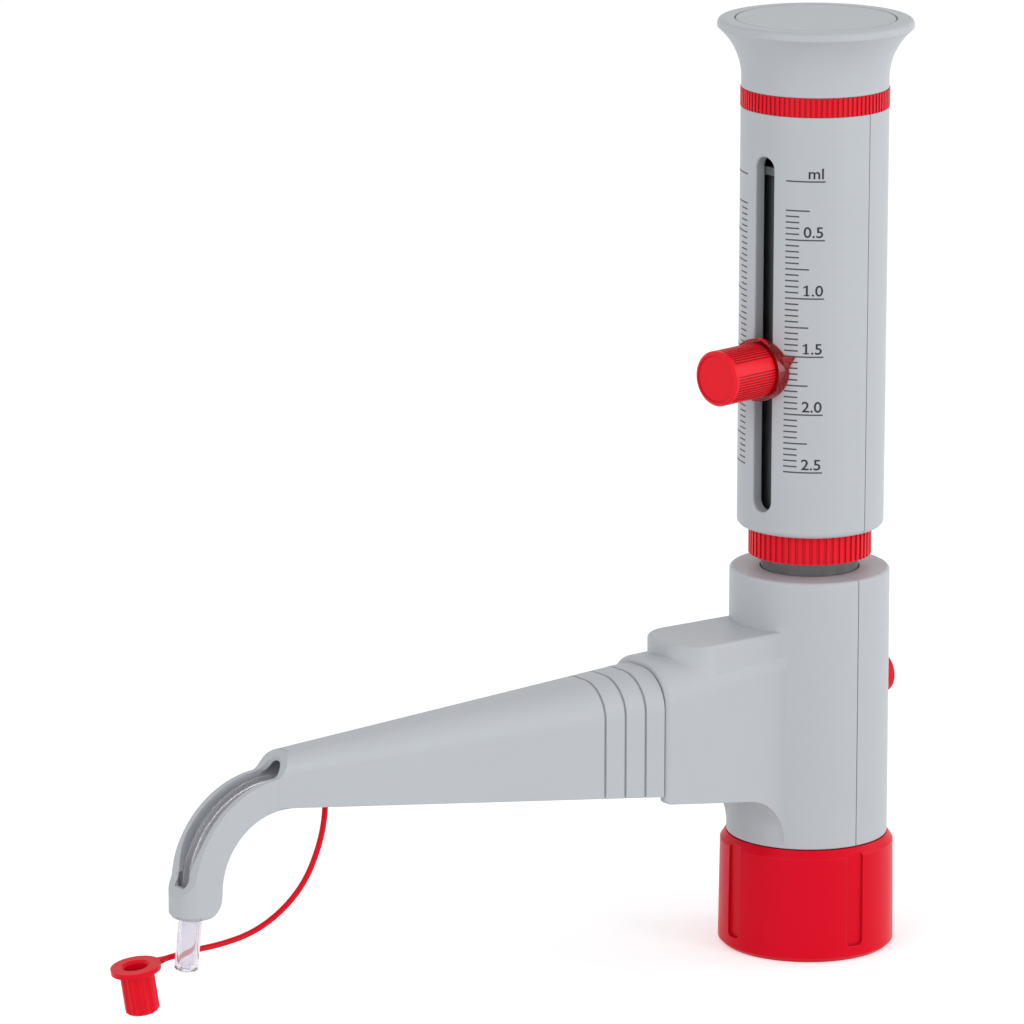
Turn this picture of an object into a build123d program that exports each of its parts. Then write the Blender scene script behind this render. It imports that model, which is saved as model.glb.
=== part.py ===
from build123d import *
from math import asin, atan, cos, degrees, pi, radians, sin, sqrt, tan
import os

# A bottle-top dispenser for small volumes, in millimetres.
# The origin is the centre of the bottle opening at the collar's foot, +Z is up,
# and the discharge arm reaches out along -X.

# Clearances
seat = 0.1
running = 0.05
gap = 0.3
seam = 0.2

# Dose, in microlitres: the plunger's stroke follows from the bore of the glass barrel
set_dose = 1500.0
bore_diameter = 6.95
set_stroke = set_dose * 4 / (pi * bore_diameter**2)

# Bottle collar
collar_radius = 20.0
collar_draft = 0.3
collar_height = 26.0
collar_foot = 0.9
collar_shoulder = 1.8
collar_inset = 1.2
thread_radius = 15.2
collar_lip = 4.7
grip_count = 4
grip_width = 4.4
grip_depth = 0.9
grip_corner = 1.2
grip_low = 3.2
grip_turn = -3.4

# Housing
housing_radius = 18.3
housing_draft = 0.2
housing_top = 88.0
housing_wall = 2.3
housing_lid = 2.6
housing_edge = 0.8
lid_clearance = 0.25
bulge_radius = 5.6
bulge_height = 0.6
bulge_root = 1.5

# Boss that carries the arm
boss_start = 14.0
boss_reach = 48.0
boss_width = 21.6
boss_top = 73.3
boss_low = 42.0
boss_slope = 0.138
boss_root_corner = 5.0
boss_end_corner = 8.6
boss_wall = 2.2
boss_arch = 11.0
boss_edge = 1.3
cavity_start = 8.0
ledge_reach = 42.0
ledge_top = 76.45
ledge_width = 20.1
ledge_corner = 8.0
ledge_edge = 0.8

# Neck, with its seal and the ring that holds the collar
neck_radius = 9.0
retainer_radius = 14.4
retainer_height = 2.6
retainer_chamfer = 0.5
seal_thickness = 1.3

# Valve block
block_foot = 6.0
block_head = 6.0
column_radius = 10.5
passage = 1.6
return_offset = 7.3
return_radius = 0.9
outlet_socket = 4.0
outlet_collar = 2.0
spindle_collar = 2.5
barrel_socket = 5.5
valve_level = 59.8

# Filling valve
valve_radius = 5.5
valve_flange = 6.2
nipple_radius = 2.6
nipple_bore = 1.2
nipple_taper = 0.4
nipple_foot = 2.0
nipple_top = 14.0
inlet_top = 30.4
ball_room = 4.4
chamber_radius = 2.4
ball_radius = 1.75

# Outlet valve, in the boss
outlet_radius = 5.0
outlet_start = 20.0
outlet_length = 18.0
outlet_web = 4.0
spring_wire = 0.4
spring_radius = 1.45
spring_turns = 5
spring_sides = 6
nut_radius = 4.2
nut_length = 6.0

# Glass barrel and its bush
barrel_radius = 5.5
barrel_top = 176.0
washer_thickness = 1.0
bush_length = 12.0

# Guide tube and its stop
guide_radius = 11.05
guide_bore = 9.4
zero_level = 179.05
stop_radius = 13.35
stop_thickness = 1.8
foot_radius = 13.2
foot_thickness = 5.0

# Ribbed rings
lock_radius = 13.9
lock_height = 6.3
lock_ribs = 54
lock_rib_depth = 0.35
ring_height = 4.4
ring_proud = 0.1
ring_ribs = 88
ring_rib_depth = 0.3

# Valve spindle and its knob, opposite the arm
spindle_radius = 2.5
spindle_start = 8.0
spindle_port = 1.0
ring_groove = 12.0
ring_section = 0.6
valve_knob_radius = 4.6
valve_knob_face = 21.7
valve_knob_edge = 0.5
valve_grip_width = 1.8
valve_grip_depth = 0.9
valve_grip_rim = 0.7
spindle_grip = 1.2

# Sleeve, with the slot of the volume setting
sleeve_radius = 16.55
sleeve_wall = 2.85
sleeve_low = 97.8
sleeve_top = 193.3
sleeve_edge = 1.4
spigot_radius = 15.0
spigot_height = 7.3
slot_direction = 189.8
slot_width = 5.3
slot_low = 103.0
slot_high = 183.7
slot_edge = 0.5

# Plunger cap
crown_inset = 0.08
crown_wall = 2.2
crown_floor = 206.0
cap_rim_radius = 21.9
cap_rim_step = 0.15
cap_rim_band = 0.9
cap_rim_round = 1.1
cap_flare = 11.4
cap_top = 213.0
cover_radius = 18.05
cover_thickness = 1.7
cover_edge = 0.25

# Piston, its holder and the zero screw
rod_radius = 3.2
tail_radius = 1.15
rod_tail = 4.0
dead_space = 1.5
piston_length = 7.0
piston_fit = 0.03
lip_depth = 0.3
lip_length = 2.0
holder_radius = 5.0
holder_flange = 3.3
holder_flange_radius = 7.5
adjuster_radius = 3.55
adjuster_length = 4.0
adjuster_slot = 1.2

# Volume knob, its pointer dial and the lug inside the sleeve
pointer_rise = 3.7
pointer_reach = 8.4
pointer_bevel = 0.5
pointer_thickness = 1.1
dial_radius = 7.1
dial_front = 18.6
lug_half_width = 5.0
lug_height = 8.0
stud_radius = 2.3
screw_radius = 1.5
screw_length = 9.0
knob_radius = 6.2
knob_length = 12.9
knob_edge = 0.45
knob_band = 1.3
knob_rim = 0.9
knob_recess = 0.25
knob_panels = 4
knob_panel_grooves = 11
knob_groove_pitch = 6.0
knob_groove_depth = 0.3
knob_turn = 25.0

# Discharge arm
arm_width = 20.8
arm_top = 71.95
arm_low = 43.7
arm_corner = 8.5
arm_wall = 2.0
arm_end = 147.3
arm_end_width = 9.8
arm_end_top = 67.1
arm_end_low = 56.1
arm_end_corner = 4.0
arm_end_edge = 0.6
hollow_end = 139.0
spigot_length = 7.0
spigot_wall = 1.5
spigot_web = 2.0
groove_pitch = 5.3
groove_width = 0.6
groove_depth = 0.45
groove_count = 3
clip_reach = 75.0
clip_pitch = 30.0
clip_count = 2
clip_thickness = 1.4
clip_drop = 5.0

# Hooked end of the arm
hook_centre = 145.5
hook_height = 39.6
hook_inner = 16.0
hook_outer = 23.0
hook_heel = 7.5
nozzle_front = 170.8
nozzle_foot = 34.2
nozzle_shoulder = 39.2
nozzle_back = 0.4
nozzle_edge = 0.7
nozzle_lean = 6.8
channel_width = 4.2
channel_start = 6.0
hood_height = 65.1
hood_depth = 2.7

# Discharge tube and nozzle tip
tube_diameter = 3.2
tube_bore = 2.0
tube_fit = 0.2
tube_end = 18.1
tip_diameter = 5.1
tip_socket = 4.5
tip_shank = 0.25
tip_shoulder = 0.6
tip_length = 16.4
tip_chamfer = 0.4

# Strap of the nozzle cap, from its button under the arm
strap_diameter = 1.3
strap_rib = 1.2
strap_rib_length = 10.0
button_radius = 1.7
button_height = 0.9
strap_bend = 0.45
strap_route = [
    (-131.7, 0.0, 57.0),
    (-131.7, 0.0, 51.0),
    (-133.5, 0.3, 43.3),
    (-136.7, 1.1, 36.0),
    (-141.9, 2.2, 30.3),
    (-148.6, 3.2, 26.5),
    (-156.3, 4.0, 25.05),
    (-163.6, 4.75, 24.75),
    (-169.3, 5.55, 23.85),
]

# Nozzle cap
cap_radius = 3.75
cap_height = 10.5
cap_flange_radius = 5.45
cap_flange = 1.2
cap_wall = 1.1
cap_mouth = 0.5
cap_flutes = 9
flute_radius = 1.4
flute_depth = 0.35
cap_foot_edge = 0.5
tongue_root = 4.2
tongue_width = 5.0
tongue_end = 7.3

os.makedirs("parts", exist_ok=True)

# Levels and radii that several pieces share
housing_low = collar_height + gap
housing_top_radius = housing_radius - housing_draft
housing_bore = housing_top_radius - housing_wall
block_radius = housing_bore - gap
block_low = housing_low + gap
guide_foot_low = housing_top - housing_lid - gap - foot_thickness
block_top = guide_foot_low - seat
stop_top = zero_level + stop_thickness
sleeve_bore = sleeve_radius - sleeve_wall
lock_low = sleeve_low - gap - lock_height
knob_level = zero_level - set_stroke - pointer_rise
tube_bend = valve_level - hook_height
arm_root = boss_reach + seam
across = Plane(origin=(0, 0, 0), x_dir=(0, 1, 0), z_dir=(1, 0, 0))
toward_slot = Vector(cos(radians(slot_direction)), sin(radians(slot_direction)), 0)
beside_slot = Vector(-sin(radians(slot_direction)), cos(radians(slot_direction)), 0)


def arched(half_width, low, high, corner):
    """A face with a flat foot and two rounded upper corners, for an empty sketch."""
    with Locations((0, (low + high) / 2)):
        Rectangle(2 * half_width, high - low)
    fillet(vertices().group_by(Axis.Y)[-1], corner)


def on_slot(distance, height=0.0):
    """A plane square to the slot's direction, at a distance from the main axis."""
    return Plane(origin=toward_slot * distance + Vector(0, 0, height), x_dir=beside_slot, z_dir=toward_slot)


def ribbed(outer, inner, ribs, depth):
    """A ring's section about the main axis, with a notch for each upright groove."""
    Circle(outer)
    with PolarLocations(outer, ribs):
        Rectangle(2 * depth, pi * outer / ribs, mode=Mode.SUBTRACT)
    Circle(inner, mode=Mode.SUBTRACT)


def finish(piece, name):
    """Labels a piece and writes it under its own name."""
    piece.part.label = name
    export_step(piece.part, "parts/" + name + ".step")


# The collar screws onto the bottle and turns freely under the housing.
collar_top_radius = collar_radius - collar_draft
collar_shoulder_low = collar_height - collar_shoulder
lip_low = collar_height - collar_lip
grip_high = collar_height - collar_shoulder / 2
with BuildPart() as bottle_collar:
    with BuildSketch(Plane.XZ):
        with BuildLine():
            Polyline(
                (thread_radius, 0),
                (collar_radius - collar_foot, 0),
                (collar_radius, collar_foot),
                (collar_top_radius, collar_shoulder_low),
                (collar_top_radius - collar_inset, collar_height),
                (neck_radius + gap, collar_height),
                (neck_radius + gap, lip_low),
                (thread_radius, lip_low),
                close=True,
            )
        make_face()
    revolve(axis=Axis.Z)
    for number in range(grip_count):
        outward = Vector(1, 0, 0).rotate(Axis.Z, grip_turn + 360 * number / grip_count)
        grip_floor = outward * (collar_radius - grip_depth) + Vector(0, 0, (grip_low + grip_high) / 2)
        with BuildSketch(Plane(origin=grip_floor, x_dir=(0, 0, 1), z_dir=outward)):
            Rectangle(grip_high - grip_low, grip_width)
            fillet(vertices(), grip_corner)
        extrude(amount=2 * grip_depth, mode=Mode.SUBTRACT)
finish(bottle_collar, "bottle_collar")

# A threaded ring holds the collar on the neck, and a soft seal under it meets the bottle's mouth.
retainer_top = lip_low - gap
retainer_low = retainer_top - retainer_height
with BuildPart() as collar_retainer:
    with BuildSketch(Plane.XY.offset(retainer_low)):
        Circle(retainer_radius)
        Circle(neck_radius + running, mode=Mode.SUBTRACT)
    extrude(amount=retainer_height)
    chamfer(edges().filter_by(GeomType.CIRCLE).sort_by(SortBy.RADIUS)[-2:], retainer_chamfer)
finish(collar_retainer, "collar_retainer")

seal_low = retainer_low - seal_thickness
with BuildPart() as bottle_seal:
    with BuildSketch(Plane.XY.offset(seal_low)):
        Circle(retainer_radius)
        Circle(valve_radius + running, mode=Mode.SUBTRACT)
        with Locations((return_offset, 0)):
            Circle(return_radius + seat, mode=Mode.SUBTRACT)
    extrude(amount=seal_thickness)
finish(bottle_seal, "bottle_seal")

# The two housing halves meet in the plane square to the arm.
# The front one carries the boss for the arm, the rear one the hole for the valve knob.
with BuildPart() as column:
    with BuildSketch(Plane.XZ):
        with BuildLine():
            Polyline(
                (0, housing_low),
                (housing_radius, housing_low),
                (housing_top_radius, housing_top),
                (0, housing_top),
                close=True,
            )
        make_face()
    revolve(axis=Axis.Z)
    fillet(edges().filter_by(GeomType.CIRCLE).sort_by(Axis.Z)[-1], housing_edge)

boss_half = boss_width / 2
boss_root = sqrt(housing_radius**2 - boss_half**2)
slope_turn = atan(boss_slope)
arch_x = -boss_root - boss_arch
arch_end_x = arch_x + boss_arch * sin(slope_turn)
arch_end_z = boss_low - boss_slope * (boss_reach + arch_end_x)
arch_z = arch_end_z - boss_arch * cos(slope_turn)
with BuildPart() as boss:
    with BuildSketch(across.offset(-boss_start)):
        arched(boss_half, housing_low, boss_top, boss_root_corner)
    with BuildSketch(across.offset(-boss_reach)):
        arched(boss_half, housing_low, boss_top, boss_end_corner)
    loft()
    with BuildSketch(Plane.XZ):
        with BuildLine():
            CenterArc((arch_x, arch_z), boss_arch, 0, 90 - degrees(slope_turn))
            Polyline(
                (arch_end_x, arch_end_z),
                (-boss_reach, boss_low),
                (-boss_reach, boss_top),
                (0, boss_top),
                (0, arch_z),
                (-boss_root, arch_z),
            )
        make_face()
    extrude(amount=boss_width, both=True, mode=Mode.INTERSECT)
    fillet(faces().sort_by(Axis.X)[0].edges(), boss_edge)

with BuildPart() as ledge:
    with BuildSketch(Plane.XY.offset(boss_top - ledge_corner)):
        with Locations((-ledge_reach / 2, 0)):
            Rectangle(ledge_reach, ledge_width)
        fillet(vertices().group_by(Axis.X)[0], ledge_corner)
    extrude(amount=ledge_top - boss_top + ledge_corner)
    fillet(faces().sort_by(Axis.Z)[-1].edges().sort_by(Axis.X)[:-1], ledge_edge)

cavity_half = boss_half - boss_wall
cavity_low = boss_low + boss_wall
cavity_top = boss_top - boss_wall
with BuildPart() as housing_hollow:
    with BuildSketch(Plane.XY.offset(housing_low)):
        Circle(housing_bore)
    extrude(amount=housing_top - housing_lid - housing_low)
    with BuildSketch(Plane.XY.offset(housing_top - housing_lid)):
        Circle(guide_radius + lid_clearance)
    extrude(amount=housing_lid)
    with BuildSketch(across.offset(-cavity_start)):
        arched(cavity_half, cavity_low, cavity_top, boss_root_corner - boss_wall)
    with BuildSketch(across.offset(-boss_reach)):
        arched(cavity_half, cavity_low, cavity_top, boss_end_corner - boss_wall)
    loft()

with BuildPart() as housing_front:
    add(column.part)
    add(boss.part)
    add(ledge.part)
    add(housing_hollow.part, mode=Mode.SUBTRACT)
    split(bisect_by=Plane.YZ.offset(-seam / 2), keep=Keep.BOTTOM)
finish(housing_front, "housing_front")

bulge_face = housing_radius + bulge_height
with BuildPart() as housing_rear:
    add(column.part)
    add(housing_hollow.part, mode=Mode.SUBTRACT)
    split(bisect_by=Plane.YZ.offset(seam / 2), keep=Keep.TOP)
    with BuildSketch(across.offset(bulge_face - bulge_root)):
        with Locations((0, valve_level)):
            Circle(bulge_radius)
    extrude(amount=bulge_root)
    chamfer(faces().sort_by(Axis.X)[-1].edges(), bulge_height / 2)
    with BuildSketch(across.offset(housing_bore - housing_wall)):
        with Locations((0, valve_level)):
            Circle(spindle_radius + gap)
    extrude(amount=bulge_face - housing_bore + housing_wall, mode=Mode.SUBTRACT)
finish(housing_rear, "housing_rear")

# The valve block stands inside the housing and carries the neck, the valves and the glass barrel.
socket_floor = block_top - barrel_socket
inlet_floor = inlet_top + seat
with BuildPart() as valve_block:
    with BuildSketch(Plane.XZ):
        with BuildLine():
            Polyline(
                (0, retainer_low),
                (neck_radius, retainer_low),
                (neck_radius, block_low),
                (block_radius, block_low),
                (block_radius, block_low + block_foot),
                (column_radius, block_low + block_foot),
                (column_radius, block_top - block_head),
                (block_radius, block_top - block_head),
                (block_radius, block_top),
                (0, block_top),
                close=True,
            )
        make_face()
    revolve(axis=Axis.Z)
    with BuildSketch(across.offset(-outlet_start - outlet_socket)):
        with Locations((0, valve_level)):
            Circle(outlet_radius + outlet_collar)
    extrude(amount=outlet_start + outlet_socket)
    with BuildSketch(across):
        with Locations((0, valve_level)):
            Circle(spindle_radius + spindle_collar)
    extrude(amount=sqrt(block_radius**2 - (spindle_radius + spindle_collar) ** 2))
    with BuildSketch(Plane.XY.offset(retainer_low)):
        Circle(valve_radius + running)
    extrude(amount=inlet_floor - retainer_low, mode=Mode.SUBTRACT)
    with BuildSketch(Plane.XY.offset(inlet_floor)):
        Circle(passage)
    extrude(amount=block_top - inlet_floor, mode=Mode.SUBTRACT)
    with BuildSketch(Plane.XY.offset(socket_floor)):
        Circle(barrel_radius + running)
    extrude(amount=barrel_socket, mode=Mode.SUBTRACT)
    with BuildSketch(across.offset(-outlet_start - outlet_socket)):
        with Locations((0, valve_level)):
            Circle(outlet_radius + running)
    extrude(amount=outlet_socket, mode=Mode.SUBTRACT)
    with BuildSketch(across.offset(-outlet_start)):
        with Locations((0, valve_level)):
            Circle(passage)
    extrude(amount=outlet_start + spindle_start, mode=Mode.SUBTRACT)
    with BuildSketch(across.offset(spindle_start - running)):
        with Locations((0, valve_level)):
            Circle(spindle_radius + running)
    extrude(amount=block_radius, mode=Mode.SUBTRACT)
    with BuildSketch(Plane.XY.offset(retainer_low)):
        with Locations((return_offset, 0)):
            Circle(return_radius)
    extrude(amount=valve_level - retainer_low, mode=Mode.SUBTRACT)
finish(valve_block, "valve_block")

# The filling valve screws up into the neck. Its nipple takes the filling tube.
valve_seat_level = inlet_top - ball_room
with BuildPart() as filling_valve:
    with BuildSketch(Plane.XZ):
        with BuildLine():
            Polyline(
                (nipple_bore, nipple_foot),
                (nipple_radius - nipple_taper, nipple_foot),
                (nipple_radius, nipple_foot + 2 * nipple_taper),
                (nipple_radius, nipple_top),
                (valve_flange, nipple_top),
                (valve_flange, seal_low - seat),
                (valve_radius, seal_low - seat),
                (valve_radius, inlet_top),
                (chamber_radius, inlet_top),
                (chamber_radius, valve_seat_level),
                (nipple_bore, valve_seat_level),
                close=True,
            )
        make_face()
    revolve(axis=Axis.Z)
finish(filling_valve, "filling_valve")

ball_rise = sqrt(ball_radius**2 - nipple_bore**2) + running
with BuildPart() as inlet_ball:
    with BuildSketch(Plane.XZ):
        with Locations((0, valve_seat_level + ball_rise)):
            Circle(ball_radius)
            with Locations((-ball_radius, 0)):
                Rectangle(2 * ball_radius, 2 * ball_radius, mode=Mode.SUBTRACT)
    revolve(axis=Axis.Z)
finish(inlet_ball, "inlet_ball")

# The outlet valve sits in the boss, with its ball and spring.
outlet_end = outlet_start + outlet_length
outlet_seat = outlet_start + outlet_web
outlet_line = Axis((0, 0, valve_level), (-1, 0, 0))
with BuildPart() as outlet_valve:
    with BuildSketch(Plane.XZ):
        with BuildLine():
            Polyline(
                (-outlet_start - seat, valve_level + nipple_bore),
                (-outlet_start - seat, valve_level + outlet_radius),
                (-outlet_end, valve_level + outlet_radius),
                (-outlet_end, valve_level + nipple_bore),
                (-outlet_end + outlet_web, valve_level + nipple_bore),
                (-outlet_end + outlet_web, valve_level + chamber_radius),
                (-outlet_seat, valve_level + chamber_radius),
                (-outlet_seat, valve_level + nipple_bore),
                close=True,
            )
        make_face()
    revolve(axis=outlet_line)
finish(outlet_valve, "outlet_valve")

outlet_ball_x = -outlet_seat - ball_rise
with BuildPart() as outlet_ball:
    with BuildSketch(Plane.XZ):
        with Locations((outlet_ball_x, valve_level)):
            Circle(ball_radius)
            with Locations((0, -ball_radius)):
                Rectangle(2 * ball_radius, 2 * ball_radius, mode=Mode.SUBTRACT)
    revolve(axis=outlet_line)
finish(outlet_ball, "outlet_ball")

spring_touch = ball_radius + spring_wire / 2 + running
spring_start = outlet_ball_x - sqrt(spring_touch**2 - spring_radius**2)
spring_length = spring_start + outlet_end - outlet_web - spring_wire / 2 - seat
with BuildPart() as outlet_spring:
    with BuildLine() as coil:
        Helix(
            spring_length / spring_turns,
            spring_length,
            spring_radius,
            center=(spring_start, 0, valve_level),
            direction=(-1, 0, 0),
        )
    with BuildSketch(Plane(origin=coil.line @ 0, z_dir=coil.line % 0)):
        RegularPolygon(spring_wire / 2, spring_sides)
    sweep(is_frenet=True)
finish(outlet_spring, "outlet_spring")

nut_end = outlet_end + nut_length
with BuildPart() as outlet_nut:
    with BuildSketch(across.offset(-nut_end)):
        with Locations((0, valve_level)):
            RegularPolygon(nut_radius, 6)
            Circle(tube_diameter / 2 + running, mode=Mode.SUBTRACT)
    extrude(amount=nut_length - seat)
finish(outlet_nut, "outlet_nut")

# The glass barrel stands on a washer in the block, with its bush in the guide tube above.
with BuildPart() as barrel_washer:
    with BuildSketch(Plane.XY.offset(socket_floor)):
        Circle(barrel_radius)
        Circle(passage, mode=Mode.SUBTRACT)
    extrude(amount=washer_thickness)
finish(barrel_washer, "barrel_washer")

barrel_low = socket_floor + washer_thickness
with BuildPart() as glass_barrel:
    with BuildSketch(Plane.XY.offset(barrel_low)):
        Circle(barrel_radius)
        Circle(bore_diameter / 2, mode=Mode.SUBTRACT)
    extrude(amount=barrel_top - barrel_low)
finish(glass_barrel, "glass_barrel")

with BuildPart() as guide_tube:
    with BuildSketch(Plane.XZ):
        with BuildLine():
            Polyline(
                (guide_bore, guide_foot_low),
                (foot_radius, guide_foot_low),
                (foot_radius, guide_foot_low + foot_thickness),
                (guide_radius, guide_foot_low + foot_thickness),
                (guide_radius, zero_level),
                (stop_radius, zero_level),
                (stop_radius, stop_top),
                (guide_bore, stop_top),
                close=True,
            )
        make_face()
    revolve(axis=Axis.Z)
finish(guide_tube, "guide_tube")

with BuildPart() as barrel_bush:
    with BuildSketch(Plane.XZ):
        with BuildLine():
            Polyline(
                (barrel_radius + running, stop_top - bush_length),
                (guide_bore - running, stop_top - bush_length),
                (guide_bore - running, stop_top),
                (rod_radius + gap, stop_top),
                (rod_radius + gap, barrel_top + seat),
                (barrel_radius + running, barrel_top + seat),
                close=True,
            )
        make_face()
    revolve(axis=Axis.Z)
finish(barrel_bush, "barrel_bush")


# The lower ribbed ring locks the guide tube to the housing, and the sleeve comes down to rest on it.
with BuildPart() as lock_ring:
    with BuildSketch(Plane.XY.offset(lock_low)):
        ribbed(lock_radius, guide_radius + running, lock_ribs, lock_rib_depth)
    extrude(amount=lock_height)
finish(lock_ring, "lock_ring")

# Recirculation valve: a spindle in the block, turned by the knob on the back.
valve_knob_back = bulge_face + gap
with BuildPart() as valve_spindle:
    with BuildSketch(Plane.XZ):
        with BuildLine():
            Polyline(
                (spindle_start + seat, valve_level),
                (spindle_start + seat, valve_level + spindle_radius),
                (ring_groove, valve_level + spindle_radius),
                (ring_groove, valve_level + spindle_radius - ring_section),
                (ring_groove + 2 * ring_section, valve_level + spindle_radius - ring_section),
                (ring_groove + 2 * ring_section, valve_level + spindle_radius),
                (valve_knob_back + spindle_grip, valve_level + spindle_radius),
                (valve_knob_back + spindle_grip, valve_level),
                close=True,
            )
        make_face()
    revolve(axis=Axis((0, 0, valve_level), (1, 0, 0)))
    with BuildSketch(Plane.XY.offset(valve_level - spindle_radius)):
        with Locations((spindle_start + seat + spindle_port, 0)):
            Rectangle(2 * spindle_port, 2 * spindle_port)
    extrude(amount=spindle_radius, mode=Mode.SUBTRACT)
finish(valve_spindle, "valve_spindle")

with BuildPart() as spindle_seal:
    with BuildSketch(Plane.XZ):
        with Locations((ring_groove + ring_section, valve_level + spindle_radius - ring_section / 2)):
            Circle(ring_section / 2 - running / 4)
    revolve(axis=Axis((0, 0, valve_level), (1, 0, 0)))
finish(spindle_seal, "spindle_seal")

with BuildPart() as valve_knob:
    with BuildSketch(across.offset(valve_knob_back)):
        with Locations((0, valve_level)):
            Circle(valve_knob_radius)
    extrude(amount=valve_knob_face - valve_knob_back)
    fillet(faces().sort_by(Axis.X)[-1].edges(), valve_knob_edge)
    with BuildSketch(across.offset(valve_knob_face)):
        with Locations((0, valve_level)):
            Circle(valve_knob_radius - valve_grip_rim)
            Rectangle(valve_grip_width, 2 * valve_knob_radius, mode=Mode.SUBTRACT)
    extrude(amount=-valve_grip_depth, mode=Mode.SUBTRACT)
    with BuildSketch(across.offset(valve_knob_back)):
        with Locations((0, valve_level)):
            Circle(spindle_radius)
    extrude(amount=spindle_grip, mode=Mode.SUBTRACT)
finish(valve_knob, "valve_knob")

# The sleeve's two halves slide over the guide tube. The front one has the slot of the volume setting.
with BuildPart() as sleeve:
    with BuildSketch(Plane.XZ):
        with BuildLine():
            Polyline(
                (sleeve_bore, sleeve_low),
                (sleeve_radius, sleeve_low),
                (sleeve_radius, sleeve_top),
                (spigot_radius, sleeve_top),
                (spigot_radius, sleeve_top + spigot_height),
                (sleeve_bore, sleeve_top + spigot_height),
                close=True,
            )
        make_face()
    revolve(axis=Axis.Z)
    lowest = edges().filter_by(GeomType.CIRCLE).group_by(Axis.Z)[0]
    fillet(lowest.sort_by(SortBy.RADIUS)[-1], sleeve_edge)

slot_height = slot_high - slot_low
with BuildPart() as sleeve_front:
    add(sleeve.part)
    split(bisect_by=on_slot(seam / 2), keep=Keep.TOP)
    with BuildSketch(on_slot(sleeve_bore / 2, (slot_low + slot_high) / 2)):
        SlotOverall(slot_height, slot_width, rotation=90)
    extrude(amount=sleeve_radius, mode=Mode.SUBTRACT)
    fillet(edges(Select.LAST).sort_by(Axis((0, 0, 0), toward_slot))[-4:], slot_edge)
finish(sleeve_front, "sleeve_front")

with BuildPart() as sleeve_rear:
    add(sleeve.part)
    split(bisect_by=on_slot(-seam / 2), keep=Keep.BOTTOM)
finish(sleeve_rear, "sleeve_rear")

# The upper ribbed ring and the flared cap go over the sleeve's spigot and hold its halves together.
ring_radius = sleeve_radius + ring_proud
crown_low = sleeve_top + ring_height
with BuildPart() as cap_ring:
    with BuildSketch(Plane.XY.offset(sleeve_top + seat)):
        ribbed(ring_radius, spigot_radius + running, ring_ribs, ring_rib_depth)
    extrude(amount=ring_height - 2 * seat)
finish(cap_ring, "cap_ring")

crown_radius = sleeve_radius - crown_inset
flare_end = (cap_rim_radius - cap_rim_step, cap_top - cap_rim_round - cap_rim_band)
flare_start = (crown_radius, flare_end[1] - cap_flare)
spigot_top = sleeve_top + spigot_height
cover_floor = cap_top - cover_thickness - seat
with BuildPart() as plunger_cap:
    with BuildSketch(Plane.XZ):
        with BuildLine():
            TangentArc(flare_start, flare_end, tangent=(0, 1))
            Polyline(
                flare_end,
                (cap_rim_radius, flare_end[1] + cap_rim_step),
                (cap_rim_radius, cap_top - cap_rim_round),
            )
            TangentArc(
                (cap_rim_radius, cap_top - cap_rim_round),
                (cap_rim_radius - cap_rim_round, cap_top),
                tangent=(0, 1),
            )
            Polyline(
                (cap_rim_radius - cap_rim_round, cap_top),
                (cover_radius + seat, cap_top),
                (cover_radius + seat, cover_floor),
                (holder_radius + running, cover_floor),
                (holder_radius + running, crown_floor),
                (crown_radius - crown_wall, crown_floor),
                (crown_radius - crown_wall, spigot_top + seat),
                (spigot_radius + running, spigot_top + seat),
                (spigot_radius + running, crown_low),
                (crown_radius, crown_low),
                flare_start,
            )
        make_face()
    revolve(axis=Axis.Z)
finish(plunger_cap, "plunger_cap")

with BuildPart() as cap_cover:
    with BuildSketch(Plane.XY.offset(cap_top - cover_thickness)):
        Circle(cover_radius)
    extrude(amount=cover_thickness)
    chamfer(faces().sort_by(Axis.Z)[-1].edges(), cover_edge)
finish(cap_cover, "cap_cover")

# Inside the cap a flanged holder grips the piston rod, and a screw above it sets the zero.
holder_flange_low = crown_floor - seat - holder_flange
holder_top = cover_floor - seat
adjuster_low = holder_top - adjuster_length
with BuildPart() as piston_holder:
    with BuildSketch(Plane.XZ):
        with BuildLine():
            Polyline(
                (rod_radius + running, holder_flange_low),
                (holder_flange_radius, holder_flange_low),
                (holder_flange_radius, crown_floor - seat),
                (holder_radius, crown_floor - seat),
                (holder_radius, holder_top),
                (adjuster_radius + running, holder_top),
                (adjuster_radius + running, adjuster_low),
                (rod_radius + running, adjuster_low),
                close=True,
            )
        make_face()
    revolve(axis=Axis.Z)
finish(piston_holder, "piston_holder")

with BuildPart() as zero_adjuster:
    with BuildSketch(Plane.XY.offset(adjuster_low + seat)):
        Circle(adjuster_radius)
    extrude(amount=adjuster_length - seat)
    with BuildSketch(Plane.XY.offset(holder_top)):
        Rectangle(2 * adjuster_radius, adjuster_slot)
    extrude(amount=-adjuster_slot, mode=Mode.SUBTRACT)
finish(zero_adjuster, "zero_adjuster")

piston_low = barrel_low + dead_space
piston_top = piston_low + piston_length
piston_radius = bore_diameter / 2 - piston_fit
with BuildPart() as piston_rod:
    with BuildSketch(Plane.XZ):
        with BuildLine():
            Polyline(
                (0, piston_top - rod_tail),
                (tail_radius, piston_top - rod_tail),
                (tail_radius, piston_top),
                (rod_radius, piston_top),
                (rod_radius, adjuster_low),
                (0, adjuster_low),
                close=True,
            )
        make_face()
    revolve(axis=Axis.Z)
finish(piston_rod, "piston_rod")

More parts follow.
